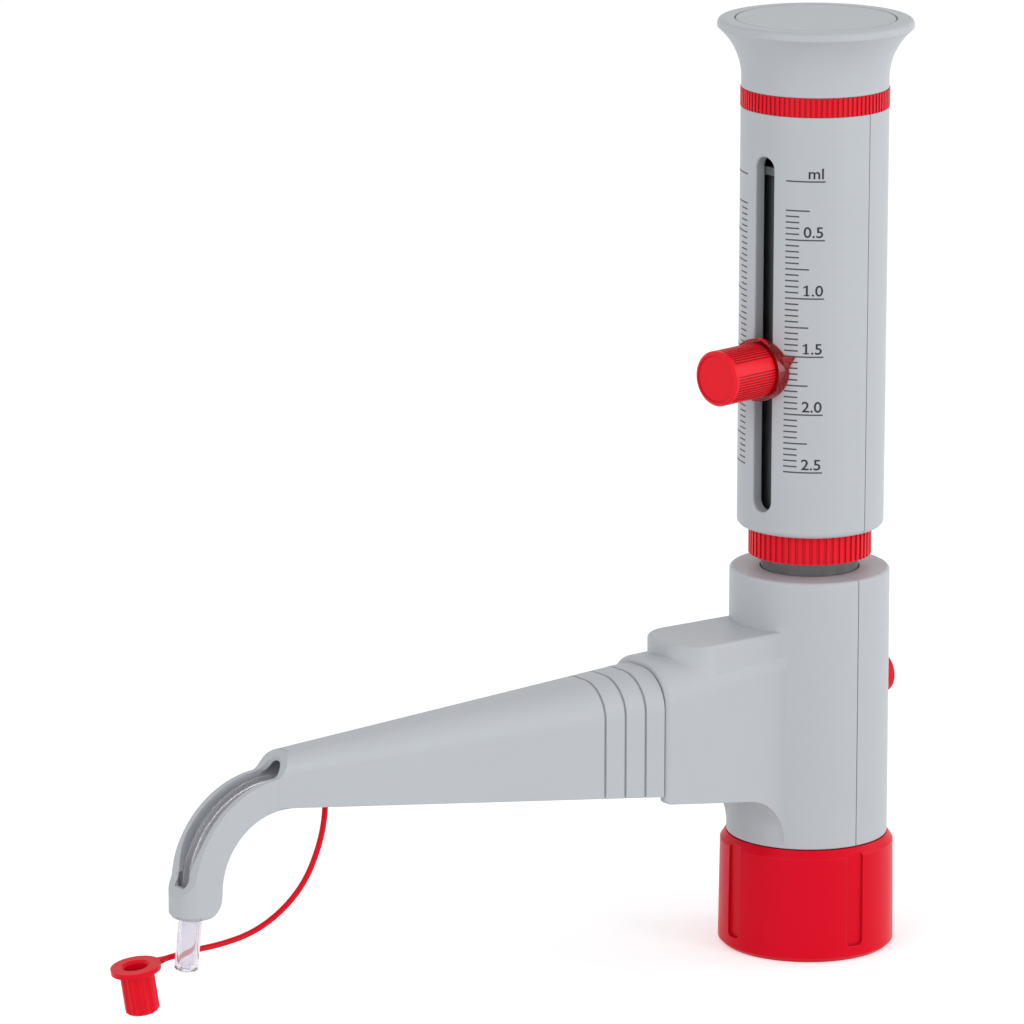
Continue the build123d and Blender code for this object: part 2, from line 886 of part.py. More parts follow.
with BuildPart() as piston_seal:
    with BuildSketch(Plane.XZ):
        with BuildLine():
            Polyline(
                (0, piston_low),
                (piston_radius - lip_depth, piston_low),
                (piston_radius, piston_low + lip_depth),
                (piston_radius, piston_low + lip_length),
                (piston_radius - lip_depth, piston_low + lip_length + lip_depth),
                (piston_radius - lip_depth, piston_top - lip_length - lip_depth),
                (piston_radius, piston_top - lip_length),
                (piston_radius, piston_top),
                (tail_radius + running, piston_top),
                (tail_radius + running, piston_top - rod_tail - seat),
                (0, piston_top - rod_tail - seat),
                close=True,
            )
        make_face()
    revolve(axis=Axis.Z)
finish(piston_seal, "piston_seal")

# The volume knob clamps the sleeve between the pointer dial outside and a lug inside.
# The lug's upper edge is level with the pointer and meets the stop of the guide tube.
dial_back = sleeve_radius + gap
with BuildPart() as dial_sleeve:
    with BuildSketch(Plane.XY.offset(knob_level - 2 * dial_radius)):
        Circle(dial_back)
    extrude(amount=4 * dial_radius)

with BuildPart() as pointer_plate:
    with BuildSketch(on_slot(sleeve_bore, knob_level)):
        with BuildLine():
            Polyline(
                (0, pointer_rise),
                (pointer_reach, pointer_rise),
                (pointer_reach - pointer_bevel, pointer_rise - 2 * pointer_bevel),
                (dial_radius - pointer_bevel, 0),
                (0, 0),
                close=True,
            )
        make_face()
        mirror(about=Plane.YZ)
    extrude(amount=dial_front - sleeve_bore)
    with BuildSketch(Plane.XY.offset(knob_level - dial_radius)):
        Circle(dial_back + pointer_thickness)
    extrude(amount=2 * dial_radius, mode=Mode.INTERSECT)

with BuildPart() as pointer_dial:
    with BuildSketch(on_slot(sleeve_bore, knob_level)):
        Circle(dial_radius)
    extrude(amount=dial_front - sleeve_bore)
    add(pointer_plate.part)
    add(dial_sleeve.part, mode=Mode.SUBTRACT)
    with BuildSketch(on_slot(sleeve_bore, knob_level)):
        Circle(stud_radius + running)
    extrude(amount=dial_front - sleeve_bore, mode=Mode.SUBTRACT)
finish(pointer_dial, "pointer_dial")

lug_top = knob_level + pointer_rise - gap
lug_outer = sleeve_bore - gap
with BuildPart() as clamp_lug:
    with BuildSketch(Plane.XY.offset(lug_top - lug_height)):
        Circle(lug_outer)
        Circle(guide_radius + gap, mode=Mode.SUBTRACT)
    extrude(amount=lug_height)
    with BuildSketch(on_slot(0, knob_level)):
        Rectangle(2 * lug_half_width, 4 * lug_height)
    extrude(amount=2 * sleeve_radius, mode=Mode.INTERSECT)
    with BuildSketch(on_slot(guide_radius + 2 * gap, knob_level)):
        Circle(stud_radius)
    extrude(amount=dial_front - guide_radius - 2 * gap)
    with BuildSketch(on_slot(dial_front, knob_level)):
        Circle(screw_radius)
    extrude(amount=screw_length)
finish(clamp_lug, "clamp_lug")

knob_back = dial_front + seat
groove_span = knob_groove_pitch * (knob_panel_grooves - 1)
with BuildPart() as volume_knob:
    with BuildSketch(on_slot(knob_back, knob_level)):
        Circle(knob_radius)
    extrude(amount=knob_length)
    chamfer(faces().sort_by(Axis((0, 0, 0), toward_slot))[-1].edges(), knob_edge)
    with BuildSketch(on_slot(knob_back + knob_length, knob_level)):
        Circle(knob_radius - knob_rim)
    extrude(amount=-knob_recess, mode=Mode.SUBTRACT)
    with BuildSketch(on_slot(knob_back, knob_level)):
        for number in range(knob_panels):
            first_groove = knob_turn + (number + 0.5) * 360 / knob_panels - groove_span / 2
            with PolarLocations(knob_radius, knob_panel_grooves, first_groove, groove_span, endpoint=True):
                Rectangle(2 * knob_groove_depth, knob_radius * radians(knob_groove_pitch) / 2)
    extrude(amount=knob_length - knob_band, mode=Mode.SUBTRACT)
    with BuildSketch(on_slot(knob_back, knob_level)):
        Circle(screw_radius + running)
    extrude(amount=screw_length + gap, mode=Mode.SUBTRACT)
finish(volume_knob, "volume_knob")

# The discharge arm is a trough, open below. Its hooked end has an open channel for the tube on
# the outer side, and three shallow grooves run round its root.
arm_half = arm_width / 2
arm_end_half = arm_end_width / 2
channel_floor = tube_bend - tube_diameter / 2 - tube_fit
lean = radians(nozzle_lean)
nozzle_x = -hook_centre - tube_bend * cos(lean)
nozzle_z = hook_height + tube_bend * sin(lean)
nozzle = Plane(origin=(nozzle_x, 0, nozzle_z), x_dir=(0, 1, 0), z_dir=(-sin(lean), 0, -cos(lean)))
foot_depth = (nozzle_z - nozzle_foot) / cos(lean)
tip_start = foot_depth - tip_socket


def arm_share(reach):
    """How far along the arm a place lies, from 0 at the root to 1 at the end."""
    return (reach - arm_root) / (arm_end - arm_root)


def arm_section(reach, inset, low_inset):
    """The arm's arched section at a reach, drawn in by an inset all round."""
    share = arm_share(reach)
    half = arm_half + share * (arm_end_half - arm_half) - inset
    low = arm_low + share * (arm_end_low - arm_low) - low_inset
    high = arm_top + share * (arm_end_top - arm_top) - inset
    corner = arm_corner + share * (arm_end_corner - arm_corner) - inset
    arched(half, low, high, corner)


with BuildPart() as hook:
    with BuildSketch(Plane.XZ):
        with BuildLine():
            heel = radians(hook_heel)
            Polyline(
                (-hook_centre, hook_height + hook_outer),
                (-hollow_end, hook_height + hook_outer),
                (-hollow_end, hook_height + hook_inner),
                (-hook_centre, hook_height + hook_inner),
            )
            CenterArc((-hook_centre, hook_height), hook_inner, 90, 90)
            Polyline(
                (-hook_centre - hook_inner, hook_height),
                (-hook_centre - hook_inner - nozzle_back, nozzle_foot),
                (-nozzle_front, nozzle_foot),
                (-nozzle_front, nozzle_shoulder),
                (-hook_centre - hook_outer * cos(heel), hook_height + hook_outer * sin(heel)),
            )
            CenterArc((-hook_centre, hook_height), hook_outer, 180 - hook_heel, hook_heel - 90)
        make_face()
    extrude(amount=arm_end_half, both=True)
    fillet(faces().sort_by(Axis.Z)[0].edges(), nozzle_edge)

with BuildPart() as arm_hollow:
    with BuildSketch(across.offset(-arm_root - spigot_web)):
        arm_section(arm_root + spigot_web, arm_wall, arm_low)
    with BuildSketch(across.offset(-hollow_end)):
        arm_section(hollow_end, arm_wall, arm_low)
    loft()
    for number in range(clip_count):
        with BuildSketch(across.offset(-clip_reach - number * clip_pitch)):
            with Locations((0, valve_level - clip_drop)):
                Rectangle(arm_width, arm_top, align=(Align.CENTER, Align.MIN))
        extrude(amount=clip_thickness, mode=Mode.SUBTRACT)
    with BuildSketch(Plane.XY.offset(strap_route[0][2] - strap_rib)):
        with Locations((strap_route[0][0], 0)):
            Rectangle(strap_rib_length, arm_width)
    extrude(amount=strap_rib, mode=Mode.SUBTRACT)

with BuildPart() as arm_grooves:
    for number in range(groove_count):
        reach = arm_root + groove_pitch * (number + 1)
        with BuildSketch(across.offset(-reach)):
            with Locations((0, arm_low)):
                Rectangle(2 * arm_width, 2 * arm_top)
        extrude(amount=groove_width)
        with BuildSketch(across.offset(-reach)):
            arm_section(reach, groove_depth, arm_low)
        extrude(amount=groove_width, mode=Mode.SUBTRACT)

with BuildPart() as tube_channel:
    with BuildSketch(Plane.XZ):
        with BuildLine():
            hood_turn = asin((arm_end - hook_centre) / channel_floor)
            mouth_turn = radians(channel_start)
            channel_mouth = hook_height + channel_floor * sin(mouth_turn)
            CenterArc(
                (-hook_centre, hook_height),
                channel_floor,
                90 + degrees(hood_turn),
                90 - channel_start - degrees(hood_turn),
            )
            Polyline(
                (-hook_centre - channel_floor * cos(mouth_turn), channel_mouth),
                (-hook_centre - 2 * hook_outer, channel_mouth),
                (-hook_centre - 2 * hook_outer, hook_height + 2 * hook_outer),
                (-arm_end, hook_height + 2 * hook_outer),
                (-arm_end, hook_height + channel_floor * cos(hood_turn)),
            )
        make_face()
    extrude(amount=channel_width / 2, both=True)
    with BuildSketch(across.offset(-arm_end - seat)):
        arched(channel_width / 2, hook_height + channel_floor, hood_height, channel_width / 2 - seat)
    extrude(amount=arm_end - hollow_end + 2 * seat)

spigot_half = cavity_half - seat
spigot_high = cavity_top - seat
spigot_corner = boss_end_corner - boss_wall - seat
with BuildPart() as discharge_arm:
    with BuildSketch(across.offset(-arm_root)):
        arm_section(arm_root, 0, 0)
    with BuildSketch(across.offset(-arm_end)):
        arm_section(arm_end, 0, 0)
    loft()
    fillet(faces().sort_by(Axis.X)[0].edges().sort_by(Axis.Z)[1:], arm_end_edge)
    add(hook.part)
    add(arm_hollow.part, mode=Mode.SUBTRACT)
    add(arm_grooves.part, mode=Mode.SUBTRACT)
    add(tube_channel.part, mode=Mode.SUBTRACT)
    with BuildSketch(across.offset(-arm_root)):
        arched(spigot_half, cavity_low + seat, spigot_high, spigot_corner)
    extrude(amount=spigot_length)
    with BuildSketch(across.offset(-arm_root - spigot_web)):
        arched(spigot_half - spigot_wall, 0, spigot_high - spigot_wall, spigot_corner - spigot_wall)
    extrude(amount=spigot_length + spigot_web, mode=Mode.SUBTRACT)
    with BuildSketch(across.offset(-hollow_end)):
        with Locations((0, valve_level)):
            Circle(tube_diameter / 2 + running)
    extrude(amount=hollow_end - arm_root, mode=Mode.SUBTRACT)
    with BuildSketch(Plane.XY.offset(strap_route[0][2] - 2 * strap_rib)):
        with Locations((strap_route[0][0], 0)):
            Circle(strap_diameter / 2 + running)
    extrude(amount=2 * strap_rib, mode=Mode.SUBTRACT)
    with BuildSketch(nozzle.offset(-tube_diameter)):
        Circle(tube_diameter / 2 + running)
    extrude(amount=tube_diameter + foot_depth, mode=Mode.SUBTRACT)
    with BuildSketch(nozzle.offset(tip_start - seat)):
        Circle(tip_diameter / 2 - tip_shank + running)
    extrude(amount=tip_socket + tip_diameter, mode=Mode.SUBTRACT)
finish(discharge_arm, "discharge_arm")

# The discharge tube runs from the outlet nut through the arm, round the hook and into the tip.
with BuildPart() as discharge_tube:
    with BuildLine(Plane.XZ) as tube_path:
        Line((-outlet_end - seat, valve_level), (-hook_centre, valve_level))
        CenterArc((-hook_centre, hook_height), tube_bend, 90, 90 - nozzle_lean)
        Line(
            (nozzle_x, nozzle_z),
            (nozzle_x - tube_end * sin(lean), nozzle_z - tube_end * cos(lean)),
        )
    with BuildSketch(Plane(origin=tube_path.line @ 0, z_dir=tube_path.line % 0)):
        Circle(tube_diameter / 2)
        Circle(tube_bore / 2, mode=Mode.SUBTRACT)
    sweep()
finish(discharge_tube, "discharge_tube")

# The tip's shank, a little slimmer, is pushed up into the arm's end.
shank_length = tip_socket + tip_shoulder
with BuildPart() as nozzle_tip:
    with BuildSketch(nozzle.offset(tip_start)):
        Circle(tip_diameter / 2 - tip_shank)
    extrude(amount=shank_length)
    with BuildSketch(nozzle.offset(tip_start + shank_length)):
        Circle(tip_diameter / 2)
    extrude(amount=tip_length - shank_length)
    chamfer(faces().sort_by(Axis((0, 0, 0), nozzle.z_dir))[-1].edges(), tip_chamfer)
    with BuildSketch(nozzle.offset(tip_start)):
        Circle(tube_diameter / 2 + running)
    extrude(amount=tube_end - tip_start + seat, mode=Mode.SUBTRACT)
    with BuildSketch(nozzle.offset(tip_start)):
        Circle(tube_bore / 2)
    extrude(amount=tip_length, mode=Mode.SUBTRACT)
finish(nozzle_tip, "nozzle_tip")

# The cap's strap hangs from a button on a rib under the arm.
strap_x, strap_y, strap_z = strap_route[0]
with BuildPart() as strap_button:
    with BuildSketch(Plane.XY.offset(strap_z)):
        with Locations((strap_x, strap_y)):
            Circle(button_radius)
    extrude(amount=button_height)
    fillet(faces().sort_by(Axis.Z)[-1].edges(), button_height / 3)
finish(strap_button, "strap_button")

strap_points = [Vector(point) for point in strap_route]
strap_runs = [after - before for before, after in zip(strap_points, strap_points[1:])]
strap_radii = []
for before, after in zip(strap_runs, strap_runs[1:]):
    half_turn = radians(before.get_angle(after)) / 2
    strap_radii.append(strap_bend * min(before.length, after.length) / tan(half_turn))
print("strap radii:", [round(radius, 1) for radius in strap_radii])
with BuildPart() as cap_strap:
    with BuildLine() as strap_path:
        FilletPolyline(*strap_points, radius=strap_radii)
    with BuildSketch(Plane(origin=strap_path.line @ 0, z_dir=strap_path.line % 0)):
        Circle(strap_diameter / 2)
    sweep()
strap_length = sum(edge.length for edge in strap_path.edges())
print("strap length:", round(strap_length, 1))
print("strap volume:", round(cap_strap.part.volume, 2), round(strap_length * pi * strap_diameter**2 / 4, 2))
finish(cap_strap, "cap_strap")

# The nozzle cap hangs at the strap's end with its mouth up. Its tongue tapers to the strap.
tongue = strap_runs[-1].normalized() * -1
upward = (Vector(0, 0, 1) - tongue * tongue.Z).normalized()
cap_frame = Plane(origin=strap_points[-1] - tongue * tongue_end, x_dir=tongue, z_dir=upward)
cap_foot = cap_frame.offset(cap_flange / 2 - cap_height)
cap_face = cap_frame.offset(cap_flange / 2)
tongue_plane = Plane(origin=cap_frame.origin, x_dir=cap_frame.y_dir, z_dir=tongue)
with BuildPart() as nozzle_cap:
    with BuildSketch(cap_foot):
        Circle(cap_radius)
    extrude(amount=cap_height - cap_flange)
    chamfer(faces().sort_by(Axis((0, 0, 0), upward))[0].edges(), cap_foot_edge)
    with BuildSketch(cap_foot):
        with PolarLocations(cap_radius + flute_radius - flute_depth, cap_flutes):
            Circle(flute_radius)
    extrude(amount=cap_height - cap_flange, mode=Mode.SUBTRACT)
    with BuildSketch(cap_frame.offset(-cap_flange / 2)):
        Circle(cap_flange_radius)
    extrude(amount=cap_flange)
    with BuildSketch(tongue_plane.offset(tongue_root)):
        Ellipse(tongue_width / 2, cap_flange / 2)
    with BuildSketch(tongue_plane.offset(tongue_end)):
        Circle(strap_diameter / 2)
    loft()
    with BuildSketch(cap_foot.offset(cap_wall)):
        Circle(cap_radius - cap_wall)
    extrude(amount=cap_height, mode=Mode.SUBTRACT)
    with BuildSketch(cap_face.offset(-cap_mouth)):
        Circle(cap_radius - cap_wall)
    with BuildSketch(cap_face):
        Circle(cap_radius - cap_wall + cap_mouth)
    loft(mode=Mode.SUBTRACT)
finish(nozzle_cap, "nozzle_cap")
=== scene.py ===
from math import cos, pi, radians, sin

import bmesh
import bpy
from mathutils import Matrix, Vector


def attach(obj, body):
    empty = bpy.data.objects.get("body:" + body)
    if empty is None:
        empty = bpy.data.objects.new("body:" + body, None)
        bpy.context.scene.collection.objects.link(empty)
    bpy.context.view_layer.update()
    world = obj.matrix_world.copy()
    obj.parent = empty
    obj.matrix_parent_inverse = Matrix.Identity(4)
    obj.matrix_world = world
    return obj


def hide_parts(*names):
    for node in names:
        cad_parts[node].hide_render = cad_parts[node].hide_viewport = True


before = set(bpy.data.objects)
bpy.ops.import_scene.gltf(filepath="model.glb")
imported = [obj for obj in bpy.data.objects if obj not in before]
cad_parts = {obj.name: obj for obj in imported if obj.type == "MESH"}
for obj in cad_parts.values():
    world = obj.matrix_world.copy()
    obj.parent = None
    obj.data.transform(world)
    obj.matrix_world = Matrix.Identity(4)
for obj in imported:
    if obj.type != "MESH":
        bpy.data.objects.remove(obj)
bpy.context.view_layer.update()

# The studio. A white table runs on under the whole view, in a bright white room with soft
# windows to the left, in front and to the far right.
bpy.context.scene.view_settings.view_transform = "Standard"

camera_eye = Vector((-0.909142, -1.167844, 0.455520))
look_along = Vector((0.56178556, 0.79358476, -0.23370969))
frame_right = Vector((0.81637287, -0.57752364, 0.00133727))
frame_up = frame_right.cross(look_along)
camera_data = bpy.data.cameras.new("camera")
camera_data.lens = 236.91
camera_data.sensor_width = 36
camera = bpy.data.objects.new("camera", camera_data)
camera.matrix_world = Matrix.Translation(camera_eye) @ Matrix(
    (frame_right, frame_up, -look_along)
).transposed().to_4x4()
bpy.context.scene.collection.objects.link(camera)
bpy.context.scene.camera = camera


def soft_light(name, place, toward, width, height, power):
    """A square window of light, turned toward a point of the object."""
    light = bpy.data.lights.new(name, "AREA")
    light.shape = "RECTANGLE"
    light.size = width
    light.size_y = height
    light.energy = power
    lamp = bpy.data.objects.new(name, light)
    lamp.matrix_world = Matrix.Translation(Vector(place)) @ (
        Vector(place) - Vector(toward)
    ).to_track_quat("Z", "Y").to_matrix().to_4x4()
    bpy.context.scene.collection.objects.link(lamp)


lamp_target = (-0.03, 0, 0.1)
soft_light("window_left", (-1.6, -0.5, 0.7), lamp_target, 0.9, 1.3, 7.5)
soft_light("window_front", (0.5, -1.9, 0.6), lamp_target, 0.7, 1.2, 10.2)
soft_light("window_right", (1.6, -0.8, 0.5), lamp_target, 0.8, 1.3, 7.6)


def seen_rays(nodes, links):
    """1 for what the camera sees, straight on, in a gloss or through clear plastic."""
    path = nodes.new("ShaderNodeLightPath")
    gloss = nodes.new("ShaderNodeMath")
    gloss.operation = "MAXIMUM"
    links.new(path.outputs["Is Camera Ray"], gloss.inputs[0])
    links.new(path.outputs["Is Glossy Ray"], gloss.inputs[1])
    through = nodes.new("ShaderNodeMath")
    through.operation = "MAXIMUM"
    links.new(gloss.outputs[0], through.inputs[0])
    links.new(path.outputs["Is Transmission Ray"], through.inputs[1])
    return through.outputs[0]


room = bpy.data.worlds.new("room")
room.use_nodes = True
bpy.context.scene.world = room
room_nodes, room_links = room.node_tree.nodes, room.node_tree.links
room_nodes.clear()
room_light = room_nodes.new("ShaderNodeBackground")
room_light.inputs["Color"].default_value = (0.97, 0.98, 1, 1)
room_light.inputs["Strength"].default_value = 0.575
room_white = room_nodes.new("ShaderNodeBackground")
room_white.inputs["Color"].default_value = (1, 1, 1, 1)
room_mix = room_nodes.new("ShaderNodeMixShader")
room_out = room_nodes.new("ShaderNodeOutputWorld")
room_links.new(seen_rays(room_nodes, room_links), room_mix.inputs["Fac"])
room_links.new(room_light.outputs[0], room_mix.inputs[1])
room_links.new(room_white.outputs[0], room_mix.inputs[2])
room_links.new(room_mix.outputs[0], room_out.inputs["Surface"])

table_paint = bpy.data.materials.new("table_white")
table_paint.use_nodes = True
table_nodes, table_links = table_paint.node_tree.nodes, table_paint.node_tree.links
table_nodes.clear()
table_matt = table_nodes.new("ShaderNodeBsdfDiffuse")
table_matt.inputs["Color"].default_value = (0.9, 0.9, 0.9, 1)
table_glow = table_nodes.new("ShaderNodeEmission")
table_glow.inputs["Color"].default_value = (0.45, 0.45, 0.45, 1)
table_add = table_nodes.new("ShaderNodeAddShader")
table_out = table_nodes.new("ShaderNodeOutputMaterial")
table_links.new(seen_rays(table_nodes, table_links), table_glow.inputs["Strength"])
table_links.new(table_matt.outputs[0], table_add.inputs[0])
table_links.new(table_glow.outputs[0], table_add.inputs[1])
table_links.new(table_add.outputs[0], table_out.inputs["Surface"])
table_radius = 3
table_drop = 0.0001


def as_object(name, shape, paint=None):
    """Makes an object of a finished shape, which is used up."""
    mesh = bpy.data.meshes.new(name)
    shape.to_mesh(mesh)
    shape.free()
    if paint:
        mesh.materials.append(paint)
    made = bpy.data.objects.new(name, mesh)
    bpy.context.scene.collection.objects.link(made)
    return made


table_shape = bmesh.new()
bmesh.ops.create_circle(table_shape, cap_ends=True, segments=64, radius=table_radius)
bmesh.ops.translate(table_shape, verts=table_shape.verts, vec=(0, 0, -table_drop))
table = as_object("table", table_shape, table_paint)


# The skin of a moulded piece: fine spark grain from the mould, a faint flow mottle in the
# colour, and edges a little smoother than the faces, with a painted highlight on them.
def build_moulded_skin():
    group = bpy.data.node_groups.new("moulded_skin", "ShaderNodeTree")
    for name, kind, value in (
        ("Colour", "NodeSocketColor", (0.5, 0.5, 0.5, 1)),
        ("Mottle", "NodeSocketFloat", 0.04),
        ("Roughness", "NodeSocketFloat", 0.45),
        ("Grain size", "NodeSocketFloat", 5000),
        ("Grain depth", "NodeSocketFloat", 0.2),
        ("Edge polish and painted highlight", "NodeSocketFloat", 0.3),
        ("Edge radius", "NodeSocketFloat", 0.00025),
    ):
        socket = group.interface.new_socket(name=name, in_out="INPUT", socket_type=kind)
        socket.default_value = value
    group.interface.new_socket(name="Colour", in_out="OUTPUT", socket_type="NodeSocketColor")
    group.interface.new_socket(name="Roughness", in_out="OUTPUT", socket_type="NodeSocketFloat")
    group.interface.new_socket(name="Normal", in_out="OUTPUT", socket_type="NodeSocketVector")
    nodes, links = group.nodes, group.links
    given = nodes.new("NodeGroupInput")
    made = nodes.new("NodeGroupOutput")
    place = nodes.new("ShaderNodeTexCoord")

    flow = nodes.new("ShaderNodeTexNoise")
    flow.inputs["Scale"].default_value = 70
    flow.inputs["Detail"].default_value = 4
    links.new(place.outputs["Object"], flow.inputs["Vector"])
    flow_centred = nodes.new("ShaderNodeMath")
    flow_centred.operation = "SUBTRACT"
    flow_centred.inputs[1].default_value = 0.5
    links.new(flow.outputs["Fac"], flow_centred.inputs[0])
    flow_share = nodes.new("ShaderNodeMath")
    flow_share.operation = "MULTIPLY_ADD"
    flow_share.inputs[2].default_value = 1
    links.new(flow_centred.outputs[0], flow_share.inputs[0])
    links.new(given.outputs["Mottle"], flow_share.inputs[1])
    flowed = nodes.new("ShaderNodeVectorMath")
    flowed.operation = "SCALE"
    links.new(given.outputs["Colour"], flowed.inputs[0])
    links.new(flow_share.outputs[0], flowed.inputs["Scale"])

    rounded = nodes.new("ShaderNodeBevel")
    rounded.samples = 4
    links.new(given.outputs["Edge radius"], rounded.inputs["Radius"])
    facing = nodes.new("ShaderNodeNewGeometry")
    agree = nodes.new("ShaderNodeVectorMath")
    agree.operation = "DOT_PRODUCT"
    links.new(rounded.outputs["Normal"], agree.inputs[0])
    links.new(facing.outputs["Normal"], agree.inputs[1])
    edge = nodes.new("ShaderNodeMapRange")
    edge.inputs["From Min"].default_value = 0.995
    edge.inputs["From Max"].default_value = 0.9
    links.new(agree.outputs["Value"], edge.inputs["Value"])
    polished_highlit_edge = nodes.new("ShaderNodeMath")
    polished_highlit_edge.operation = "MULTIPLY"
    links.new(edge.outputs["Result"], polished_highlit_edge.inputs[0])
    links.new(given.outputs["Edge polish and painted highlight"], polished_highlit_edge.inputs[1])
    # Painted highlight: the colour is made paler along the edges, by the edge mask.
    painted_edge_highlight = nodes.new("ShaderNodeMix")
    painted_edge_highlight.data_type = "RGBA"
    painted_edge_highlight.inputs["B"].default_value = (1, 1, 1, 1)
    edge_highlight_share = nodes.new("ShaderNodeMath")
    edge_highlight_share.operation = "MULTIPLY"
    edge_highlight_share.inputs[1].default_value = 0.25
    links.new(polished_highlit_edge.outputs[0], edge_highlight_share.inputs[0])
    links.new(edge_highlight_share.outputs[0], painted_edge_highlight.inputs["Factor"])
    links.new(flowed.outputs["Vector"], painted_edge_highlight.inputs[6])
    links.new(painted_edge_highlight.outputs[2], made.inputs["Colour"])

    sheen = nodes.new("ShaderNodeTexNoise")
    sheen.inputs["Scale"].default_value = 400
    sheen.inputs["Detail"].default_value = 3
    links.new(place.outputs["Object"], sheen.inputs["Vector"])
    sheen_range = nodes.new("ShaderNodeMapRange")
    sheen_range.inputs["To Min"].default_value = -0.07
    sheen_range.inputs["To Max"].default_value = 0.07
    links.new(sheen.outputs["Fac"], sheen_range.inputs["Value"])
    sheened = nodes.new("ShaderNodeMath")
    links.new(given.outputs["Roughness"], sheened.inputs[0])
    links.new(sheen_range.outputs["Result"], sheened.inputs[1])
    smoother = nodes.new("ShaderNodeMath")
    smoother.operation = "MULTIPLY_ADD"
    smoother.inputs[1].default_value = -0.3
    links.new(polished_highlit_edge.outputs[0], smoother.inputs[0])
    links.new(sheened.outputs[0], smoother.inputs[2])
    links.new(smoother.outputs[0], made.inputs["Roughness"])

    spark = nodes.new("ShaderNodeTexNoise")
    spark.inputs["Detail"].default_value = 2
    links.new(place.outputs["Object"], spark.inputs["Vector"])
    links.new(given.outputs["Grain size"], spark.inputs["Scale"])
    relief = nodes.new("ShaderNodeBump")
    relief.inputs["Distance"].default_value = 0.00002
    links.new(given.outputs["Grain depth"], relief.inputs["Strength"])
    links.new(spark.outputs["Fac"], relief.inputs["Height"])
    links.new(rounded.outputs["Normal"], relief.inputs["Normal"])
    links.new(relief.outputs["Normal"], made.inputs["Normal"])
    return group


moulded_skin = build_moulded_skin()


# Painted shade: the red colour is darkened down in the grooves between its ribs and along its
# recesses, where less light gets in. The darkening follows how open each place is.
def build_groove_painted_shade():
    group = bpy.data.node_groups.new("groove_painted_shade", "ShaderNodeTree")
    group.interface.new_socket(name="Colour", in_out="INPUT", socket_type="NodeSocketColor")
    for name, value in (("Depth", 0.7), ("Reach", 0.0007)):
        socket = group.interface.new_socket(name=name, in_out="INPUT", socket_type="NodeSocketFloat")
        socket.default_value = value
    group.interface.new_socket(name="Colour", in_out="OUTPUT", socket_type="NodeSocketColor")
    nodes, links = group.nodes, group.links
    given = nodes.new("NodeGroupInput")
    made = nodes.new("NodeGroupOutput")
    # Painted shade: the colour is darkened where the occlusion finds the place shut in.
    open_share = nodes.new("ShaderNodeAmbientOcclusion")
    open_share.samples = 6
    open_share.only_local = True
    links.new(given.outputs["Reach"], open_share.inputs["Distance"])
    shut = nodes.new("ShaderNodeMapRange")
    shut.inputs["From Min"].default_value = 0.92
    shut.inputs["From Max"].default_value = 0.45
    links.new(open_share.outputs["AO"], shut.inputs["Value"])
    shade_share = nodes.new("ShaderNodeMath")
    shade_share.operation = "MULTIPLY"
    links.new(shut.outputs["Result"], shade_share.inputs[0])
    links.new(given.outputs["Depth"], shade_share.inputs[1])
    left = nodes.new("ShaderNodeMath")
    left.operation = "SUBTRACT"
    left.inputs[0].default_value = 1
    links.new(shade_share.outputs[0], left.inputs[1])
    shaded_colour = nodes.new("ShaderNodeVectorMath")
    shaded_colour.operation = "SCALE"
    links.new(given.outputs["Colour"], shaded_colour.inputs[0])
    links.new(left.outputs[0], shaded_colour.inputs["Scale"])
    links.new(shaded_colour.outputs["Vector"], made.inputs["Colour"])
    return group


groove_painted_shade = build_groove_painted_shade()


def moulded(
    name, colour, roughness, mottle=0.04, grain=5000, depth=0.2, edge_polish_and_highlight=0.3,
    shine=0.25, edge=0.00025, painted_groove_shade=0,
):
    """A plastic moulding's material: the shared skin, with its painted edge highlight, set for its
    colour and finish, and painted shade in its grooves where asked.
    """
    paint = bpy.data.materials.new(name)
    paint.use_nodes = True
    nodes, links = paint.node_tree.nodes, paint.node_tree.links
    plastic = nodes["Principled BSDF"]
    plastic.inputs["Specular IOR Level"].default_value = shine
    skin = nodes.new("ShaderNodeGroup")
    skin.node_tree = moulded_skin
    skin.inputs["Colour"].default_value = (*colour, 1)
    skin.inputs["Mottle"].default_value = mottle
    skin.inputs["Roughness"].default_value = roughness
    skin.inputs["Grain size"].default_value = grain
    skin.inputs["Grain depth"].default_value = depth
    skin.inputs["Edge polish and painted highlight"].default_value = edge_polish_and_highlight
    skin.inputs["Edge radius"].default_value = edge
    links.new(skin.outputs["Colour"], plastic.inputs["Base Color"])
    # Painted shade darkens the colour in the grooves and recesses.
    if painted_groove_shade:
        tone = nodes.new("ShaderNodeGroup")
        tone.node_tree = groove_painted_shade
        tone.inputs["Depth"].default_value = painted_groove_shade
        links.new(skin.outputs["Colour"], tone.inputs["Colour"])
        links.new(tone.outputs["Colour"], plastic.inputs["Base Color"])
    links.new(skin.outputs["Roughness"], plastic.inputs["Roughness"])
    links.new(skin.outputs["Normal"], plastic.inputs["Normal"])
    return paint


def dress(paint, *names):
    """Gives a material to the solids of these names."""
    for name in names:
        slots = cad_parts[name].material_slots
        for slot in slots:
            slot.material = paint


